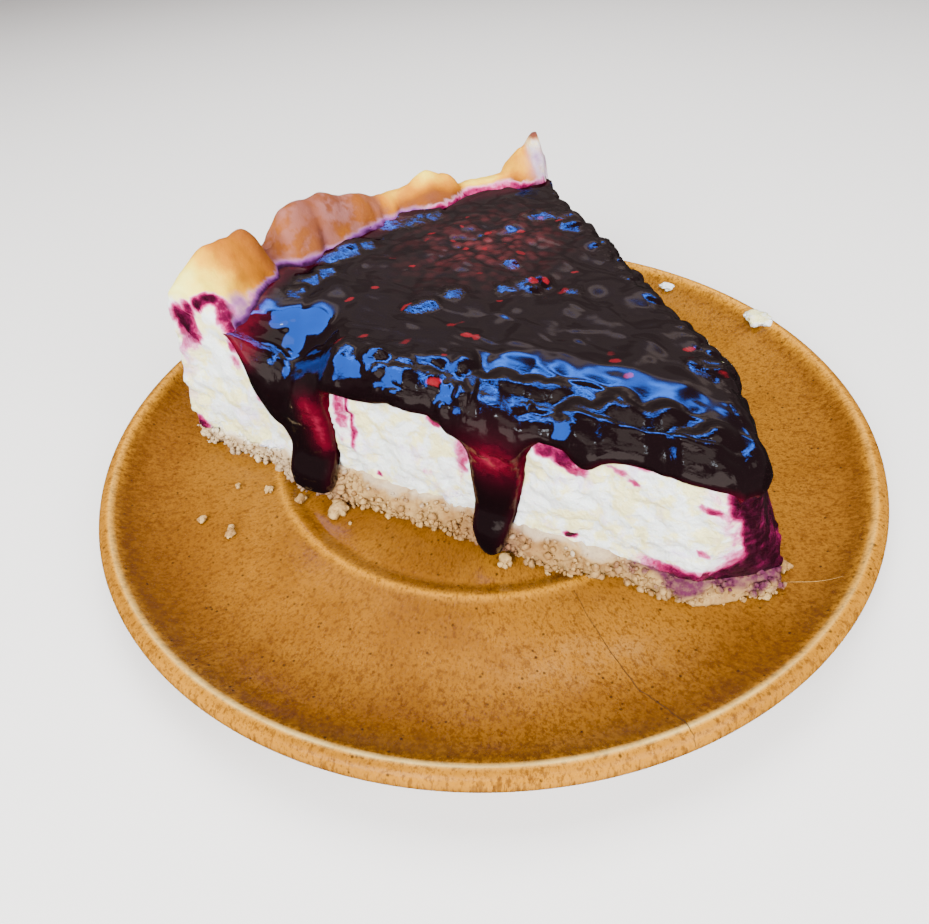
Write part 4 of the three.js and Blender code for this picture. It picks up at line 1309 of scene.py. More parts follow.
@dataclass
class BerryTopping:
    """The berry jam: its lumpy crown, the shoulder over each cut, and runs."""

    rows: int = 222
    columns: int = 138
    steps: int = 40
    near_edge: tuple = (
        # place along the near cut and height of the jam's lower edge
        (18, 34.6), (20, 35), (21.5, 36.2), (24, 36.6), (28.5, 36.9), (33, 36.4), (37, 36),
        (39.5, 34.8), (41, 33.6), (43, 33), (44.8, 33.9), (46.2, 35.4), (48, 36.4), (50.5, 35.4),
        (52.2, 33.9), (53.2, 31), (53.7, 27), (54.2, 21.5), (55.2, 15.5), (56.2, 9.6), (57.4, 6.6),
        (58.8, 6), (60.6, 6.8), (62.2, 9.4), (63.3, 14.6), (64, 19.5), (64.5, 25), (65, 29.6),
        (65.9, 32.6), (67.6, 33), (69, 34.6), (70.8, 34.8), (71.8, 36.6), (74.6, 36.3), (78, 35.8),
        (81, 35.3), (85, 34), (88, 33.8), (90, 34.7), (93.4, 34.6), (94.6, 33.6), (95.2, 28),
        (95.6, 19), (95.9, 10.5), (97, 8.2), (100, 7.6), (103.5, 7.6), (105.9, 8.6), (106.6, 13),
        (107.2, 18), (108.4, 21.2), (111, 23.4), (114.2, 26), (116.2, 30.2), (117, 36), (124, 39),
    )
    far_edge: tuple = (
        (18, 33), (30, 34.4), (40, 34), (43.6, 32.6), (45, 29.4), (46, 26.2), (47.2, 24.8),
        (48.6, 24.6), (49.8, 25.8), (50.8, 29), (52.2, 32.6), (55, 34.2), (65, 34.2), (68.6, 32.2),
        (70.4, 30.9), (72.4, 30.9), (74.4, 32.8), (78, 34.4), (86, 34.4), (88.8, 32), (90.2, 26.4),
        (91.2, 20), (92.4, 18.2), (94, 18.3), (95.2, 20.6), (96.2, 26.6), (97.6, 32.4), (100, 34.4),
        (107, 34.2), (110.4, 32.2), (112.4, 31.2), (114.6, 32.2), (118, 34.2), (124, 36),
    )

    lumps: tuple = (
        # x, y, reach and height of single lumps that catch the sky
        (-18, 36, 4, 1.4), (-14, 37.3, 5.6, 2), (-9.5, 38.6, 4.4, 1.5), (-32.5, 20.8, 3.8, 1.4),
        (-28.7, 22.9, 4.8, 1.75), (-24.5, 25, 3.6, 1.3), (-12.6, -4.2, 2.8, 1), (-10.2, -3.2, 2.8, 1),
        (-4.4, 0.8, 2.9, 1), (6.4, 1.6, 3, 1.05), (9.5, 2.7, 3.6, 1.3), (13.4, 3.2, 3, 1.05),
        (11.6, 0.4, 2.2, 0.8), (15.2, 33.8, 3.2, 1.15), (18.8, 34.4, 3.8, 1.4), (22.6, 33.6, 3, 1.05),
        (23.1, 28.5, 2.5, 0.9), (8.2, 12.6, 2, 0.7), (19.2, -1, 2.4, 0.75), (-35.6, 11, 3.4, 1.2),
        (-32.3, 13.3, 3.6, 1.3), (36.7, -28.6, 2.6, 0.8), (39.1, -30.7, 2.4, 0.7),
        (42.1, -35.1, 2.4, 0.8), (-37.5, 6.5, 2.8, 0.9),
    )
    flecks: tuple = (
        # x, y, half length, half width and turn of each shred of red skin
        (-14.6, -3.7, 1.6, 0.8, 20), (-4.9, -10.7, 2.2, 0.9, 30), (-2.8, -14.6, 1.2, 1, 0),
        (-1, -15.5, 1, 1.1, 0), (-14, -15.1, 1.7, 0.9, 35), (-27.1, -13, 1.9, 0.9, 40),
        (-22.6, -12.6, 1.6, 0.7, 10), (-9.4, -26.9, 1.5, 0.8, 0), (12.1, 2.6, 1.4, 1.2, 0),
        (17.2, -0.7, 1.4, 1.2, 0), (14.3, 3.1, 1, 0.9, 0), (22.7, -25.5, 1.5, 1, 0),
        (22.7, -23, 1, 1, 0), (24.3, -30, 1, 0.8, 0), (0.1, 35.9, 1.6, 0.8, 25),
        (-1.6, 30.6, 0.9, 0.9, 0), (-8.7, 29, 1.2, 0.7, 20), (-9.9, 26, 1.3, 0.7, 10),
        (4.5, 27.3, 1, 0.9, 0), (-3.9, 25, 0.9, 0.8, 0), (-1.2, 20.9, 1, 1, 0),
        (3.1, 20.2, 1.1, 0.9, 0), (10.8, 16.5, 1.3, 0.9, -20), (11.7, 27.2, 1, 0.8, 0),
        (7.7, 21.5, 0.8, 0.8, 0), (14.5, 12.5, 0.9, 0.7, 0), (21.3, 7.8, 1.2, 0.6, 0),
        (17.2, 32.9, 1.2, 0.7, 0), (21.7, 31, 1.2, 0.8, 0), (36.5, -23.2, 1.3, 0.7, 0),
        (40, -31.4, 1.6, 0.8, -20), (4.5, -2.5, 0.9, 0.5, 30), (-7.1, -20.7, 0.8, 0.5, 0),
        (1.2, 8.6, 1.1, 0.6, 20), (-13.1, 14.1, 1, 0.6, 0), (-17.8, 17.7, 1.2, 0.6, 10),
        (-21, 5.4, 1, 0.7, 0), (-26, 1.9, 1.2, 0.8, 30),
    )

    def berries(self) -> list[tuple[float, float, float, float]]:
        """Radius, direction, reach and height of each cooked berry: the solid's, then small ones."""
        s = SLICE
        i = np.arange(30)
        rho = np.sqrt(lerp(24.0 ** 2, 116.0 ** 2, spread(i, 0.7548776662)))
        angle = lerp(s.far, s.near, spread(i, 0.569840291))
        size = lerp(0.7, 1.15, spread(i, 0.3819660113))
        height = np.where(i % 5 == 2, 0.8, 0.3) * size
        berries = list(zip(rho, angle, 5.0 * size, height))
        i = np.arange(16)
        along = lerp(24.0, 92.0, i / 15)
        inward = lerp(4.5, 9.5, spread(i, 0.7548776662)) * smooth(120, 60, along)
        size = lerp(0.75, 1.2, spread(i, 0.3819660113))
        berries += zip(np.hypot(along, inward), s.near - np.arctan2(inward, along), 3.6 * size, size)
        draw = np.random.default_rng(7)
        for _ in range(110):
            r = math.sqrt(draw.uniform(22 ** 2, 117 ** 2))
            a = lerp(s.far, s.near, draw.uniform(0.01, 0.99))
            size = draw.uniform(0.9, 2.1)
            berries.append((r, a, size, size * draw.uniform(0.02, 0.08)))
        return berries

    def sky_lumps(self, rho: Array, angle: Array) -> tuple[Array, Array]:
        """Lumps, each with an even slope that catches the sky.

        Args:
            rho: Radius of each point.
            angle: Direction of each point.

        Returns:
            The height of the lumps, and the share from 0 to 1 to which the jam's skin is torn there.
        """
        raised, torn = np.zeros(np.shape(rho)), np.zeros(np.shape(rho))
        at = SLICE.place(rho, angle, 0.0)
        for x, y, reach, height in self.lumps:
            across, behind = (at[..., 0] - x) / reach, (at[..., 1] - y) / reach
            slope = np.minimum(np.minimum(behind + 0.75 - 0.4 * across ** 2, 0.8), 2.0 * (0.95 - behind))
            lump = height * np.clip(slope, 0, None) * smooth(1.05, 0.6, np.abs(across))
            raised = np.maximum(raised, lump)
            torn = np.maximum(torn, smooth(1.3, 0.8, np.hypot(across, behind)))
        return raised, torn

    def crown_at(self, rho: Array, angle: Array) -> Array:
        """The upper face: level, with soft slanting ripples and the berries' humps, low at the tip."""
        s = SLICE
        z = s.jam_level(rho, angle) - s.slump(rho, angle)[1]
        z = z - 2.2 * bell(rho, s.tip_at(angle, s.filling_top) - 3, 8)
        z = z + 0.5 * value_noise(rho / 11, angle * rho / 11, 3)
        humps = np.zeros(np.shape(z))
        for r, a, reach, height in self.berries():
            apart = np.hypot(rho - r, rho * (angle - a)) / reach
            humps = humps + height * np.clip(1 - apart ** 2, 0, 1) ** 1.5
        humps = np.maximum(humps, self.sky_lumps(rho, angle)[0])
        buried = 2.2 * smooth(5.0, 0.5, s.topping_reach(angle) - rho)
        return np.maximum(z + humps, s.topping_under(rho, angle) + 0.8 - buried)

    def row_shares(self) -> Array:
        """Shares of the way from the tip to the rim, closer together where the lower edge is steep."""
        s = SLICE
        line = np.array(self.near_edge)
        start, stop = float(s.tip_at(s.near, s.filling_top)), float(s.topping_reach(s.near))
        rho = np.linspace(start, stop, 2000)
        slope = np.abs(np.gradient(np.interp(rho, line[:, 0], line[:, 1]), rho))
        weight = 1 + 0.9 * np.minimum(slope, 6)
        total = np.concatenate([[0], np.cumsum((weight[1:] + weight[:-1]) / 2)])
        even = np.interp(np.linspace(0, total[-1], self.rows + 1), total, rho)
        return (even - start) / (stop - start)

    def skin(self) -> Skin:
        """The crown's grid, shoulder and lap rings hung from its border, and the same grid underneath."""
        s = SLICE
        rows, columns = self.rows, self.columns
        share = self.row_shares()
        across = np.linspace(0, 1, columns + 1)
        ii, jj = np.meshgrid(np.arange(rows + 1), np.arange(columns + 1), indexing="ij")
        plain = lerp(s.far, s.near, across[jj])
        reach = s.topping_reach(plain) + 1.1
        rho = lerp(s.tip_at(plain, s.filling_top) + 3.5, reach, share[ii])
        inset = np.minimum(5.0, 0.25 * rho) / rho * smooth(0, 1, (1 - share[ii]) / 0.1)
        angle = lerp(s.far + inset, s.near - inset, across[jj])
        crown = s.place(rho, angle, self.crown_at(rho, angle))
        rho_under = lerp(s.tip_at(plain, s.filling_top), reach, share[ii])
        under = s.place(rho_under, plain, s.topping_under(rho_under, plain))
        buried = rho_under > s.topping_reach(plain) - 5
        under[..., 2] = np.where(buried, np.minimum(under[..., 2], crown[..., 2] - 0.9), under[..., 2])

        bi, bj = border_of(rows, columns)
        low = under[bi, bj, 2]
        edge = self.edges(self.border(bi, bj, share, across, low), crown[bi, bj], low)
        rings = np.concatenate([edge["outside"], edge["inside"]])
        skin, tops = capped_skin(crown, rings, under)
        paint = {k: np.zeros(len(skin.points)) for k in ("thin", "fleck", "lap", "lump", "torn")}
        band = bell(s.slump(rho, angle)[0], 0.66, 0.30) * smooth(20, 30, rho)
        paint["torn"][:tops] = np.maximum(self.sky_lumps(rho, angle)[1], band).ravel()
        ring = slice(tops, tops + edge["outside"].shape[0] * len(bi))
        paint["torn"][ring] = 0.5
        paint["lump"][:tops] = smooth(0.70, 0.92, s.slump(rho, angle)[0]).ravel()
        paint["thin"][ring] = edge["thin"].ravel()
        paint["lap"][ring] = edge["round"].ravel()
        paint["lump"][ring] = edge["lump"].ravel()
        skin.paint = paint
        self.ripple(skin, tops + edge["outside"].shape[0] * len(bi))
        self.dress(skin)
        del skin.paint["lap"], skin.paint["lump"]
        return skin

    def border(self, bi: Array, bj: Array, share: Array, across: Array, under: Array) -> "JamBorder":
        """Works out the jam's border point by point.

        Args:
            bi: Row number of each border point.
            bj: Column number of each border point.
            share: Each row's share of the way from the tip to the rim.
            across: Each column's share of the way from the far cut to the near cut.
            under: Height of the underside at the border.

        Returns:
            The border.
        """
        s = SLICE
        angle = lerp(s.far, s.near, across[bj])
        rho = lerp(s.tip_at(angle, s.filling_top), s.topping_reach(angle), share[bi])
        near, far, tip = bj == self.columns, bj == 0, bi == 0
        line_near, line_far = np.array(self.near_edge), np.array(self.far_edge)
        t = s.across(angle)
        low = np.interp(rho, line_near[:, 0], line_near[:, 1])
        low = np.where(far, np.interp(rho, line_far[:, 0], line_far[:, 1]), low)
        low_tip = 33.3 + 0.9 * line_noise(t * 9, 71) + 0.4 * line_noise(t * 23, 73)
        low = np.where(tip, low_tip, low)
        turn = 0.02
        p = s.place(s.tip_at(angle - turn, s.filling_top), angle - turn, 0)
        q = s.place(s.tip_at(angle + turn, s.filling_top), angle + turn, 0)
        out = np.stack([p[:, 1] - q[:, 1], q[:, 0] - p[:, 0]], axis=1)
        out = out / np.linalg.norm(out, axis=1, keepdims=True) * tip[:, None]
        side = np.stack([-np.sin(angle), np.cos(angle)], axis=1)
        out = out + side * (near.astype(float) - far.astype(float))[:, None]
        size = np.linalg.norm(out, axis=1, keepdims=True)
        hangs = size[:, 0] > 0.1
        fade = smooth(0, 1, (s.topping_reach(angle) - rho) / 7)
        low = np.where(hangs, lerp(under + 0.4, np.minimum(low, under - 1), fade), under + 0.4)
        bulge = np.where(near, s.crumb_bulge(rho) + 0.8, np.where(far, 1.4, 1.2))
        return JamBorder(rho, angle, near, far, tip, out / np.maximum(size, 1e-6), hangs, fade, low, bulge)

    def edges(self, edge: "JamBorder", crown: Array, under: Array) -> dict[str, Array]:
        """The shoulder and lap round the border.

        A ring point's height falls from the crown to the lower edge with s to the power 1.4. It moves
        out from the crown to the wall as a quarter circle of its depth, and stands off the wall by a
        bead: thickness times the quarter circle of its distance from the lower edge's outline.

        Args:
            edge: The border.
            crown: The crown's border points.
            under: Height of the underside at the border.

        Returns:
            The rings `outside` and `inside`, and for each outside point how `thin` the jam is, how far
            the shoulder has turned (`round`) and how lumpy it is (`lump`).
        """
        s = SLICE
        rho, near, far, fade = edge.rho, edge.near, edge.far, edge.fade
        uneven = lerp(0.5, 1.0, smooth(14, 30, rho)) * (1 + 0.3 * line_noise(rho / 5, 21))
        swell = np.where(near, uneven, 0.5)
        down = np.linspace(0, 1, self.steps + 1)[1:, None]
        z = lerp(crown[None, :, 2], edge.low[None], down ** 1.4)
        depth = crown[None, :, 2] - z
        turned = np.maximum(down ** 3, dome(1 - np.clip(depth / 6.0, 0, 1)))
        away = edge.away(z)
        lip = dome(1 - np.clip(away / 2.3, 0, 1))
        run = smooth(6, 14, depth)
        streaks = 0.30 * value_noise(rho / 1.9, z / 6.0, 81) + 0.5 * value_noise(rho / 4.2, z / 4.2, 85)
        scallops = 0.9 * value_noise(rho / 6.5, z / 9.0, 86)
        thick = lerp(3.1 * swell, 2.1, run)
        thick = thick + np.where(far, scallops, streaks) * smooth(0.5, 3.0, depth) * lerp(1.0, 0.45, run)
        stand = np.maximum(thick * lip + edge.bulge * smooth(17.6, 11.6, z), 0.05)
        hung = edge.wall(z, np.where(edge.hangs, lerp(0.7, stand, fade), 0))
        flat = np.where(edge.hangs, lerp(crown[:, :2].T[:, None], hung[..., :2].transpose(2, 0, 1), turned),
                        crown[:, :2].T[:, None])
        tall = np.where(edge.hangs, z, lerp(crown[:, 2], edge.low, down))
        inner = []
        for level in (0.0, 0.35, 0.7):
            zi = lerp(edge.low, under, level)
            back = np.where(edge.hangs, -0.7 + 0.9 * edge.bulge * smooth(14.6, 11.6, zi), 0)
            inner.append(edge.wall(zi, back))
        lump = smooth(0.9, 3.0, away) * lerp(1.0, 0.15, run) * np.where(edge.hangs, fade, 0)
        slope = smooth(0.70, 0.92, s.slump(rho, edge.angle)[0])
        return {
            "outside": np.stack([flat[0], flat[1], tall], axis=-1), "inside": np.array(inner),
            "thin": edge.thin(tall, away, crown[:, 2]), "round": turned,
            "lump": lump * np.maximum(smooth(0.05, 0.5, turned), slope),
        }

    @staticmethod
    def slant(points: Array, along: float, across: float) -> Array:
        """The points turned with the jam's ripples and stretched along and across them."""
        return slanted(points, 0.80, 0.60, (along, across, 1.0))

    def masses(self, skin: Skin, slid: Array) -> Array:
        """Height of the lumpy mass on the slopes: single swells near the rim, swirls near the tip.

        Args:
            skin: The topping.
            slid: How far each point lies down the slope to the near cut, from 0 to 1.

        Returns:
            The height at each point.
        """
        p, lap = skin.points, skin.paint["lap"]
        rho, angle = SLICE.polar(p)
        along = SLICE.along_near(rho, angle)
        large, name = pebbles(p + 1.2 * swirl(p, 4.0, 98)[:, None], 4.0, 99)
        small, _ = pebbles(p, 1.5, 100)
        swells = (0.45 + 1.35 * smooth(0.70, 0.92, name)) * dome(large / 0.62) - 0.25
        swells = swells + 0.18 * smooth(0.75, 0.9, name) * dome(small / 0.7)
        swirls = 1.25 * swirl(self.slant(p, 0.6, 1.2), 7.0, 107, 2) - 0.1
        mass = lerp(swirls, swells, smooth(40, 50, along))
        mass = mass * lerp(1.0, 0.5 - 0.28 * smooth(52, 44, along), smooth(0.1, 0.5, lap))
        torn = 0.16 * swirl(self.slant(p, 0.6, 1.0), 3.4, 108, 2) * bell(slid, 0.66, 0.22)
        return (skin.paint["lump"] * mass + torn) * lerp(1.0, 0.35, smooth(84, 92, along))

    def ripple(self, skin: Skin, stop: int) -> None:
        """Fine relief, pushed along the normals of the outer faces only.

        Args:
            skin: The topping.
            stop: The number of its outer vertices, which come first.
        """
        s = SLICE
        p, lap = skin.points, skin.paint["lap"]
        rho, angle = s.polar(p)
        slid = s.slump(rho, angle)[0]
        flat = 1 - smooth(0.0, 0.5, lap)
        wet = np.clip(smooth(0.05, 0.4, lap) + 0.05 + 0.5 * smooth(0.5, 4, s.spill(rho, angle)), 0, 1)
        waves = 0.26 * swirl(self.slant(p, 0.35, 1.0), 8.5, 91, 2) * lerp(0.6, 1, flat)
        drupe, _ = pebbles(p, 2.3, 95)
        pulpy = 0.02 + 0.9 * np.clip(bell(rho, 98, 12) * bell(s.across(angle), 0.66, 0.18), 0, 1)
        level = flat * smooth(0.7, 0.4, slid)
        fold = np.abs(swirl(self.slant(p, 0.42, 1.1), 8.0, 109, 2))
        behind = bell(s.in_far(rho, angle), 1.5, 3.5) * smooth(22, 34, rho) * smooth(112, 100, rho)
        knob, tall = pebbles(p, 3.8, 114)
        height = (
            waves + 0.12 * swirl(p, 2.8, 93, 2) * wet + self.masses(skin, slid)
            + 0.42 * pulpy * np.clip(1 - drupe ** 2 / 0.5, 0, 1) * flat
            + level * (0.11 * smooth(0.24, 0.0, fold) + 0.02 * swirl(p, 2.6, 110, 2))
            + behind * (0.4 + 0.9 * tall) * (dome(knob / 0.62) - 0.3)
        )
        inward = smooth(0, 1, (s.topping_reach(angle) - rho) / 3)
        skin.push(np.where(np.arange(len(p)) < stop, height * (0.15 + 0.85 * inward), 0))

    def dress(self, skin: Skin) -> None:
        """Paints where the jam is `thin`, the `pulp`, a `fleck` for each red shred, the `satin` crown."""
        s = SLICE
        p = skin.points
        rho, angle = s.polar(p)
        t = s.across(angle)
        on_top = 1 - smooth(0.1, 0.5, skin.paint["lap"])
        zone = bell(rho, 98, 12) * bell(t, 0.66, 0.17) * on_top
        drupe, name = pebbles(p, 2.3, 95)
        skin.dye("pulp", zone * (0.15 + 1.0 * name) * smooth(0.78, 0.25, drupe) * 1.1)
        corner = (s.in_near(rho, angle) < 9) * smooth(111, 115.5, rho) * on_top
        border = smooth(4.5, 0.5, s.topping_reach(angle) - rho) * on_top
        border = border * lerp(0.30, 0.46, smooth(134, 140, np.degrees(angle)))
        skin.dye("thin", np.maximum(np.maximum(skin.paint["thin"], 0.55 * corner), border))
        fleck = np.zeros(len(p))
        bend = 0.5 * swirl(p, 2.2, 106, 2)
        for i, (x, y, length, width, turn) in enumerate(self.flecks):
            c, k = math.cos(math.radians(turn)), math.sin(math.radians(turn))
            dx, dy = p[:, 0] - x, p[:, 1] - y
            apart = np.hypot((c * dx + k * dy) / length, (c * dy - k * dx) / width) + bend
            strength = lerp(0.45, 1.0, fraction((i + 1) * 0.6180339887))
            fleck = np.maximum(fleck, strength * smooth(1.25, 0.45, apart))
        skin.paint["fleck"] = fleck * (p[:, 2] > 30)
        level = smooth(0.50, 0.25, s.slump(rho, angle)[0]) * smooth(1.0, 0.3, s.spill(rho, angle))
        skin.dye("satin", on_top * level * (1 - skin.paint["torn"]))

    def build(self) -> bpy.types.Object:
        """Makes the topping and puts it in place of its solid."""
        obj = mesh_object("topping_jam", self.skin(), BerryJam().build())
        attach(obj, BODY)
        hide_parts("berry_topping")
        return obj


class CrumbShape(Enum):
    """How a loose bit is broken, by its share of height."""

    GRAIN = 1.0
    FLAKE = 0.45


@dataclass
class CrumbBase:
    """The pressed crumb layer: a rough-edged slab with grains bedded in its walls, and loose crumbs."""

    spacing: float = 0.5
    levels: int = 18
    grains: int = 2300
    loose: tuple = (
        # x, y, size of each loose crumb on the plate
        (1.6, -39.5, 2.4), (9.4, -43, 1), (-32.6, -22.4, 3.4), (-48.5, -15.5, 1.6), (-54.5, -28, 1.8),
        (-54.8, -26, 1.2), (52.6, -47, 2.4), (47.4, -50.6, 1.8), (-30, -26, 0.9), (50.2, -48.6, 1.3),
        (-61.4, -23.3, 1.6), (-41.4, -18.5, 1.9), (-55.9, -13.6, 1.3),
    )
    curds: tuple = (
        # x, y, size of each bit of cheese behind the slice
        (58.1, 53.9, 1.7), (56.9, 55.2, 1), (75.4, 30.6, 2.6), (76.8, 28, 2), (74.2, 33, 1.4),
    )

    def outline(self) -> tuple[Array, Array]:
        """The wedge from above, anticlockwise from the far cut's tip, and its outward normals."""
        s = SLICE
        outer = s.cake_radius + s.crumb_flare

        def at(rho: Number, angle: Number) -> Array:
            """A point of the outline from its radius and direction."""
            return s.place(rho, angle, 0.0)[..., :2]

        def run(length: float, place: Callable[[Array], Array]) -> Array:
            """Points along one stretch, `spacing` apart, without its end."""
            return place(np.arange(int(round(length / self.spacing))) / round(length / self.spacing))

        a, b = at(s.tip_at(s.far, 0.0), s.far), at(outer, s.far)
        c, d = at(outer, s.near), at(s.tip_at(s.near, 0.0), s.near)
        points = np.concatenate([
            run(np.hypot(*(b - a)), lambda t: lerp(a, b, t[:, None])),
            run(outer * (s.near - s.far), lambda t: at(outer, lerp(s.far, s.near, t))),
            run(np.hypot(*(d - c)), lambda t: lerp(c, d, t[:, None])),
            run(12.0, lambda t: at(s.tip_at(lerp(s.near, s.far, t), 0.0), lerp(s.near, s.far, t))),
        ])
        step = np.roll(points, -4, axis=0) - np.roll(points, 4, axis=0)
        normal = np.stack([step[:, 1], -step[:, 0]], axis=1)
        return points, normal / np.linalg.norm(normal, axis=1, keepdims=True)

    def wall(self) -> tuple[Array, Array]:
        """The wall's grid (levels, outline, 3) before its roughness, and the outline's normals."""
        s = SLICE
        plate = Plate()
        points, normal = self.outline()
        rho, angle = s.polar(points)
        count = np.arange(len(points)) * self.spacing / 3.1
        on_near = smooth(8, 2, s.in_near(rho, angle))
        rings = []
        for level in np.linspace(0, 1, self.levels + 1):
            grain = value_noise(count / 1.3, level * 2.3, 11)
            grain = grain + 1.25 * value_noise(count / 2.9, level * 0.8, 12)
            out = lerp(0.9, s.crumb_bulge(rho), on_near) + grain - 0.9 * (2 * level - 0.8) ** 2
            foot = points + normal * out[:, None]
            r = np.hypot(foot[:, 0], foot[:, 1])
            low = plate.deck(np.where(r < 48, np.minimum(r + 1.0, 48), r)) + 0.15
            z = lerp(low, s.crumb_top + 0.5, level)
            rings.append(np.column_stack([foot, z]))
        return np.array(rings), normal

    def skin(self) -> Skin:
        """Rings of the outline stacked level by level, fanned to a point above and one below."""
        rings, _ = self.wall()
        below, above = SLICE.middle(SLICE.crumb_bottom), SLICE.middle(SLICE.crumb_top)
        skin = ringed(rings, below, above, turned=True)
        points = skin.points
        side = np.arange(len(points)) < len(points) - 2
        big, _ = pebbles(points, 2.4, 101)
        small, _ = pebbles(points, 1.2, 103)
        height = 0.9 * (0.55 - big) + 0.45 * (0.55 - small) + 0.35 * swirl(points, 5.0, 105, 2)
        skin.push(np.where(side, height, 0))
        return skin

    def build(self) -> list[bpy.types.Object]:
        """Makes the layer with its bedded grains, the loose crumbs and the loose curds."""
        material = BiscuitCrumb().build()
        draw = np.random.default_rng(19)
        body = Skin.joined([self.skin()] + self.bedded(draw))
        self.dress(body)
        layer = mesh_object("crumb_layer", body, material)
        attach(layer, BODY)
        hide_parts("crumb_base")
        loose = mesh_object("loose_crumbs", self.scattered(draw), material)
        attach(loose, BODY)
        curds = mesh_object("loose_curds", self.flakes(draw), BakedCheese().build())
        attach(curds, BODY)
        return [layer, loose, curds]

    def bedded(self, draw: np.random.Generator) -> list[Skin]:
        """The grains bedded in the wall, most of them small."""
        plate = Plate()
        rings, normal = self.wall()
        grains = []
        for _ in range(self.grains):
            k = int(draw.integers(rings.shape[1]))
            level = draw.uniform(0.0, 0.96)
            at = rings[int(level * (rings.shape[0] - 1)), k].copy()
            size = 0.22 + 0.62 * draw.uniform() ** 2.2
            at[:2] += normal[k] * draw.uniform(0.0, 0.55) * (1 + size)
            at[2] = max(at[2], plate.deck(math.hypot(at[0], at[1])) + 0.7 * size)
            grains.append(crumb(at, size, draw, 2))
        return grains

    def scattered(self, draw: np.random.Generator) -> Skin:
        """The loose crumbs on the plate, each with small bits stuck round it."""
        plate = Plate()
        pieces = []
        for x, y, size in self.loose:
            z = float(plate.deck(math.hypot(x, y)))
            pieces.append(crumb(np.array([x, y, z + 0.36 * size]), 0.5 * size, draw, 4))
            for _ in range(int(3 * size)):
                turn, far = draw.uniform(0, 2 * math.pi), draw.uniform(0.3, 0.55) * size
                bit = draw.uniform(0.18, 0.34) * size
                up = z + 0.6 * bit + draw.uniform(0, 0.3) * size
                at = np.array([x + far * math.cos(turn), y + far * math.sin(turn), up])
                pieces.append(crumb(at, bit, draw, 2))
        skin = Skin.joined(pieces)
        nothing = np.zeros(len(skin.points))
        skin.paint.update(shade=nothing + 0.05, juice=nothing, cream=nothing)
        return skin

    def flakes(self, draw: np.random.Generator) -> Skin:
        """The bits of cheese behind the slice."""
        plate = Plate()
        bits = []
        for x, y, size in self.curds:
            at = np.array([x, y, float(plate.upper(math.hypot(x, y))) + 0.28 * size])
            bits.append(crumb(at, size, draw, 6, CrumbShape.FLAKE))
        return Skin.joined(bits)

    @staticmethod
    def dress(skin: Skin) -> None:
        """Paints `shade` for toasted patches, `cream` from the filling, and `juice` from the jam."""
        s = SLICE
        p = skin.points
        rho, angle = s.polar(p)
        left = smooth(95, 110, rho)
        skin.paint["shade"] = np.clip(0.38 - 0.22 * left + 0.6 * swirl(p, 7.0, 111, 2), 0, 0.85)
        upper = smooth(11.6, 13.3, p[:, 2] + 1.4 * swirl(p, 3.5, 112, 2))
        skin.dye("cream", (0.40 + 0.35 * left) * upper * smooth(28, 42, rho) + 0.25 * left)
        near = smooth(8, 2, s.in_near(rho, angle))
        wobble = swirl(p, 4.0, 113, 2)
        high = smooth(7.8, 10.2, p[:, 2] + 3.0 * wobble)
        tip = np.maximum(near * smooth(38, 27, rho + 5 * wobble), smooth(28, 20, rho + 3 * wobble)) * high
        under_run = near * (bell(rho, 58.8, 5.5) + bell(rho, 101, 6.0)) * 0.8
        skin.dye("juice", np.maximum(0.95 * tip, 0.8 * under_run))


def crumb(at: Array, size: float, draw: np.random.Generator, parts: int,
          shape: CrumbShape = CrumbShape.GRAIN) -> Skin:
    """One broken crumb: a cube's faces, each a grid, blown to a ball and dented at random.

    Args:
        at: Its middle.
        size: Its radius.
        draw: The source of random numbers.
        parts: Divisions of each cube edge.
        shape: How it is broken.

    Returns:
        A closed skin of six grids whose edges are merged.
    """
    ball, quads = cube_sphere(parts)
    stretch = draw.uniform(0.65, 1.25, 3)
    offset = draw.uniform(-50, 50, 3)
    dents = 1 + 0.55 * swirl(ball + offset, 0.7, 121)
    turn = draw.uniform(0, 2 * math.pi)
    p = ball * dents[:, None] * stretch * size * [1.0, 1.0, shape.value]
    p = slanted(p, math.cos(turn), math.sin(turn), (1.0, 1.0, 1.0))
    tone = np.full(len(p), draw.uniform())
    return Skin(p + at, quads, paint={"tone": tone})


@functools.cache
def cube_sphere(parts: int) -> tuple[Array, Array]:
    """A unit ball as a cube's six grids blown out, with shared corners merged."""
    line = np.linspace(-1, 1, parts + 1)
    points, quads = [], []
    for axis in range(3):
        for sign in (-1, 1):
            u, v = np.meshgrid(line, line, indexing="ij")
            face = np.zeros(u.shape + (3,))
            face[..., axis] = sign
            face[..., (axis + 1) % 3] = u
            face[..., (axis + 2) % 3] = v
            index = len(points) * u.size + np.arange(u.size).reshape(u.shape)
            quads.append(grid_quads(index, turned=sign < 0))
            points.append(face.reshape(-1, 3))
    flat = np.round(np.concatenate(points), 6)
    unique, inverse = np.unique(flat, axis=0, return_inverse=True)
    ball = unique / np.linalg.norm(unique, axis=1, keepdims=True)
    return ball, inverse.ravel()[np.concatenate(quads)]


# Stage.


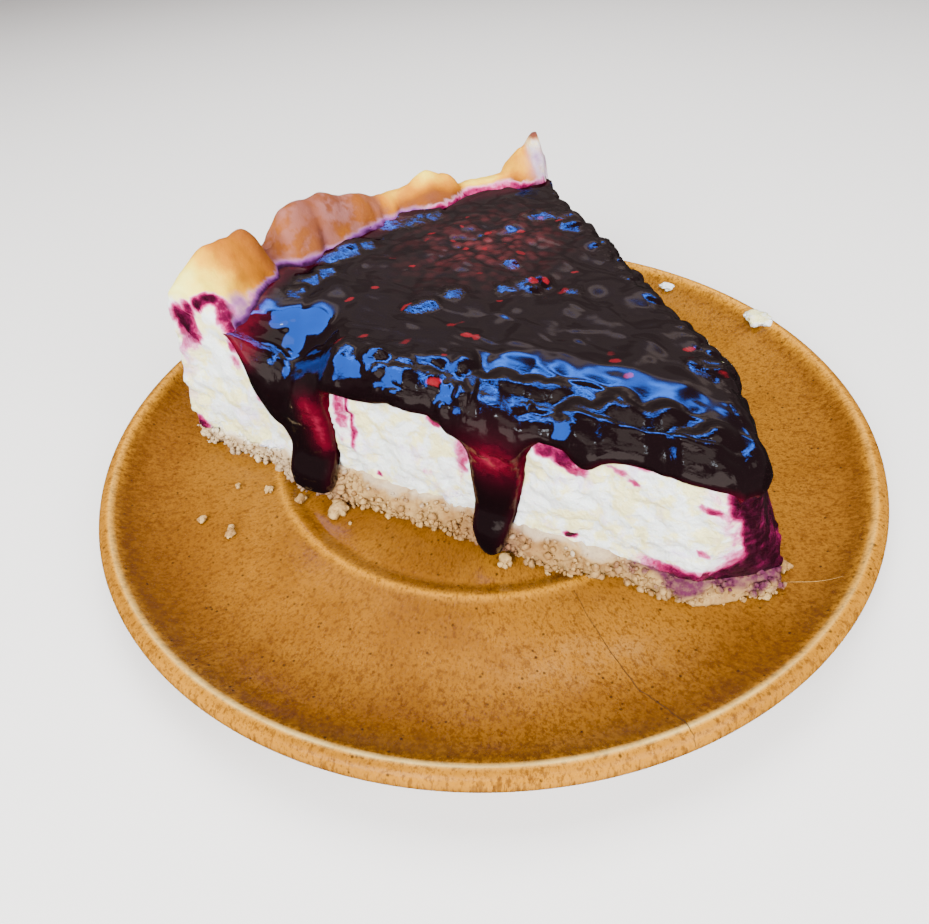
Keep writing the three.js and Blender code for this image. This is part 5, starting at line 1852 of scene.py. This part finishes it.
@dataclass(frozen=True)
class Studio:
    """The floor, the soft lights and the camera at the photograph's place."""

    focal_px: float = 680.0
    image_width: float = 929.0
    position: tuple = (-0.004975, -0.124316, 0.110821)
    right: tuple = (0.99733854, -0.04930628, -0.05370963)
    up: tuple = (0.07290976, 0.67446458, 0.73469837)
    forward: tuple = (0.0, 0.73665896, -0.67626443)

    def camera(self) -> None:
        """Sets the camera from its place and its three directions."""
        data = bpy.data.cameras.new("camera")
        data.sensor_fit = "HORIZONTAL"
        data.sensor_width = 36.0
        data.lens = self.focal_px / self.image_width * data.sensor_width
        data.clip_start, data.clip_end = 0.005, 20.0
        obj = bpy.data.objects.new("camera", data)
        bpy.context.scene.collection.objects.link(obj)
        back = [-v for v in self.forward]
        obj.matrix_world = Matrix([[self.right[k], self.up[k], back[k], self.position[k]] for k in range(3)]
                                  + [[0, 0, 0, 1]])
        bpy.context.scene.camera = obj

    @staticmethod
    def area(name: str, place: tuple, aim: tuple, size: tuple, watts: float, colour: tuple,
             skins: bpy.types.Collection | None = None) -> None:
        """One soft light that looks at a point.

        Args:
            name: The light's name.
            place: Where it hangs, in metres.
            aim: The point that it looks at.
            size: Its width and height.
            watts: Its power.
            colour: Its colour.
            skins: A collection of wet skins. With it the light is only mirrored in them; without it
                the light shines on everything and is mirrored in nothing.
        """
        data = bpy.data.lights.new(name, "AREA")
        data.shape = "ELLIPSE" if skins else "RECTANGLE"
        data.size, data.size_y = size
        data.energy = watts
        data.color = colour
        obj = bpy.data.objects.new(name, data)
        obj.visible_diffuse, obj.visible_glossy, obj.visible_camera = not skins, bool(skins), False
        if skins:
            obj.light_linking.receiver_collection = skins
        bpy.context.scene.collection.objects.link(obj)
        a, b = np.array(place), np.array(aim)
        z = (a - b) / np.linalg.norm(a - b)
        x = np.cross([0.0, 1.0, 0.0] if abs(z[2]) > 0.95 else [0.0, 0.0, 1.0], z)
        x /= np.linalg.norm(x)
        y = np.cross(z, x)
        obj.matrix_world = Matrix([[x[k], y[k], z[k], a[k]] for k in range(3)] + [[0, 0, 0, 1]])

    def lights(self, wet: bpy.types.Object) -> None:
        """A dim room, soft lights in front and above, and a blue sky and warm walls for wet skins only."""
        world = bpy.data.worlds.new("room")
        world.use_nodes = True
        nodes, links = world.node_tree.nodes, world.node_tree.links
        height = nodes.new("ShaderNodeSeparateXYZ")
        links.new(nodes.new("ShaderNodeTexCoord").outputs["Generated"], height.inputs[0])
        ramp = nodes.new("ShaderNodeValToRGB")
        share = nodes.new("ShaderNodeMath")
        share.operation = "MULTIPLY_ADD"
        share.inputs[1].default_value, share.inputs[2].default_value = 0.5, 0.5
        links.new(height.outputs["Z"], share.inputs[0])
        links.new(share.outputs[0], ramp.inputs[0])
        fill_ramp(ramp.color_ramp, ((0.0, (0.03, 0.025, 0.022)), (0.49, (0.05, 0.045, 0.04)),
                                    (0.53, (0.24, 0.19, 0.18)), (0.65, (0.23, 0.185, 0.175)),
                                    (1.0, (0.18, 0.15, 0.15))))
        links.new(ramp.outputs[0], nodes["Background"].inputs["Color"])
        bpy.context.scene.world = world
        self.area("key", (-0.31, -0.57, 0.44), (0, 0, 0.03), (0.45, 0.45), 19.0, (1.0, 0.985, 0.96))
        self.area("fill", (0.46, -0.50, 0.44), (0, 0, 0.03), (0.5, 0.5), 10.0, (1.0, 0.985, 0.97))
        self.area("top", (0.0, 0.25, 0.75), (0, 0, 0.03), (0.5, 0.5), 9.0, (1.0, 0.98, 0.96))
        skins = bpy.data.collections.new("wet_skins")
        skins.objects.link(wet)
        blue, pale_blue, warm = (0.015, 0.17, 1.0), (0.75, 0.88, 1.0), (1.0, 0.84, 0.76)
        sky, front, over = (-0.04, 0.265, 0.03), (0, 0, 0.04), (0.03, 0, 0.04)
        self.area("sky_card", (-0.04, 0.265, 0.62), sky, (0.64, 0.155), 7.8, blue, skins)
        self.area("sky_core", (-0.03, 0.245, 0.60), (-0.03, 0.245, 0.03), (0.24, 0.055), 1.0,
                  (0.03, 0.215, 1.0), skins)
        self.area("sky_near", (-0.085, -0.012, 0.12), (-0.085, -0.011, 0.04), (0.10, 0.085), 0.66,
                  blue, skins)
        self.area("spark", (-0.10, -0.09, 0.42), (0, -0.02, 0.04), (0.022, 0.022), 0.07,
                  pale_blue, skins)
        self.area("wall_card", (0.0, 0.42, 0.50), front, (1.2, 0.50), 0.44, warm, skins)
        self.area("fold_card", (0.0, 0.36, 0.46), front, (0.9, 0.09), 0.34, (1.0, 0.80, 0.70), skins)
        self.area("ceiling_card", (0.03, -0.15, 0.62), over, (0.56, 0.22), 0.42, (1.0, 0.86, 0.76), skins)
        self.area("room_card", (-0.02, -0.44, 0.42), front, (0.66, 0.38), 1.5, warm, skins)

    def floor(self) -> bpy.types.Object:
        """A wide pale floor under the foot."""
        size = 3000.0
        points = np.array([[-size, -size, 0], [size, -size, 0], [size, size, 0], [-size, size, 0]], float)
        material = plain_material("floor", (0.86, 0.86, 0.86), 0.6)
        obj = mesh_object("floor", Skin(points, np.array([[0, 1, 2, 3]])), material)
        return obj


def main() -> None:
    """Builds the stage and the pieces in order and reports each one."""
    logging.basicConfig(level=logging.INFO, format="%(message)s")
    studio = Studio()
    studio.camera()
    floor = studio.floor()
    plate = Plate()
    marks = [plate.crack(), plate.scratch()]
    for mark in marks:
        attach(mark, BODY)
    pieces = [plate.build()] + marks
    pieces += CrumbBase().build()
    filling, topping = CheeseFilling().build(), BerryTopping().build()
    pieces += [filling, topping]
    studio.lights(topping)
    for dull in (floor, pieces[0], filling):
        dull.visible_glossy = False
    for piece in pieces:
        piece.data.calc_loop_triangles()
        LOG.info("%s: %d triangles", piece.name, len(piece.data.loop_triangles))
    bpy.context.view_layer.update()


if __name__ == "__main__":
    main()
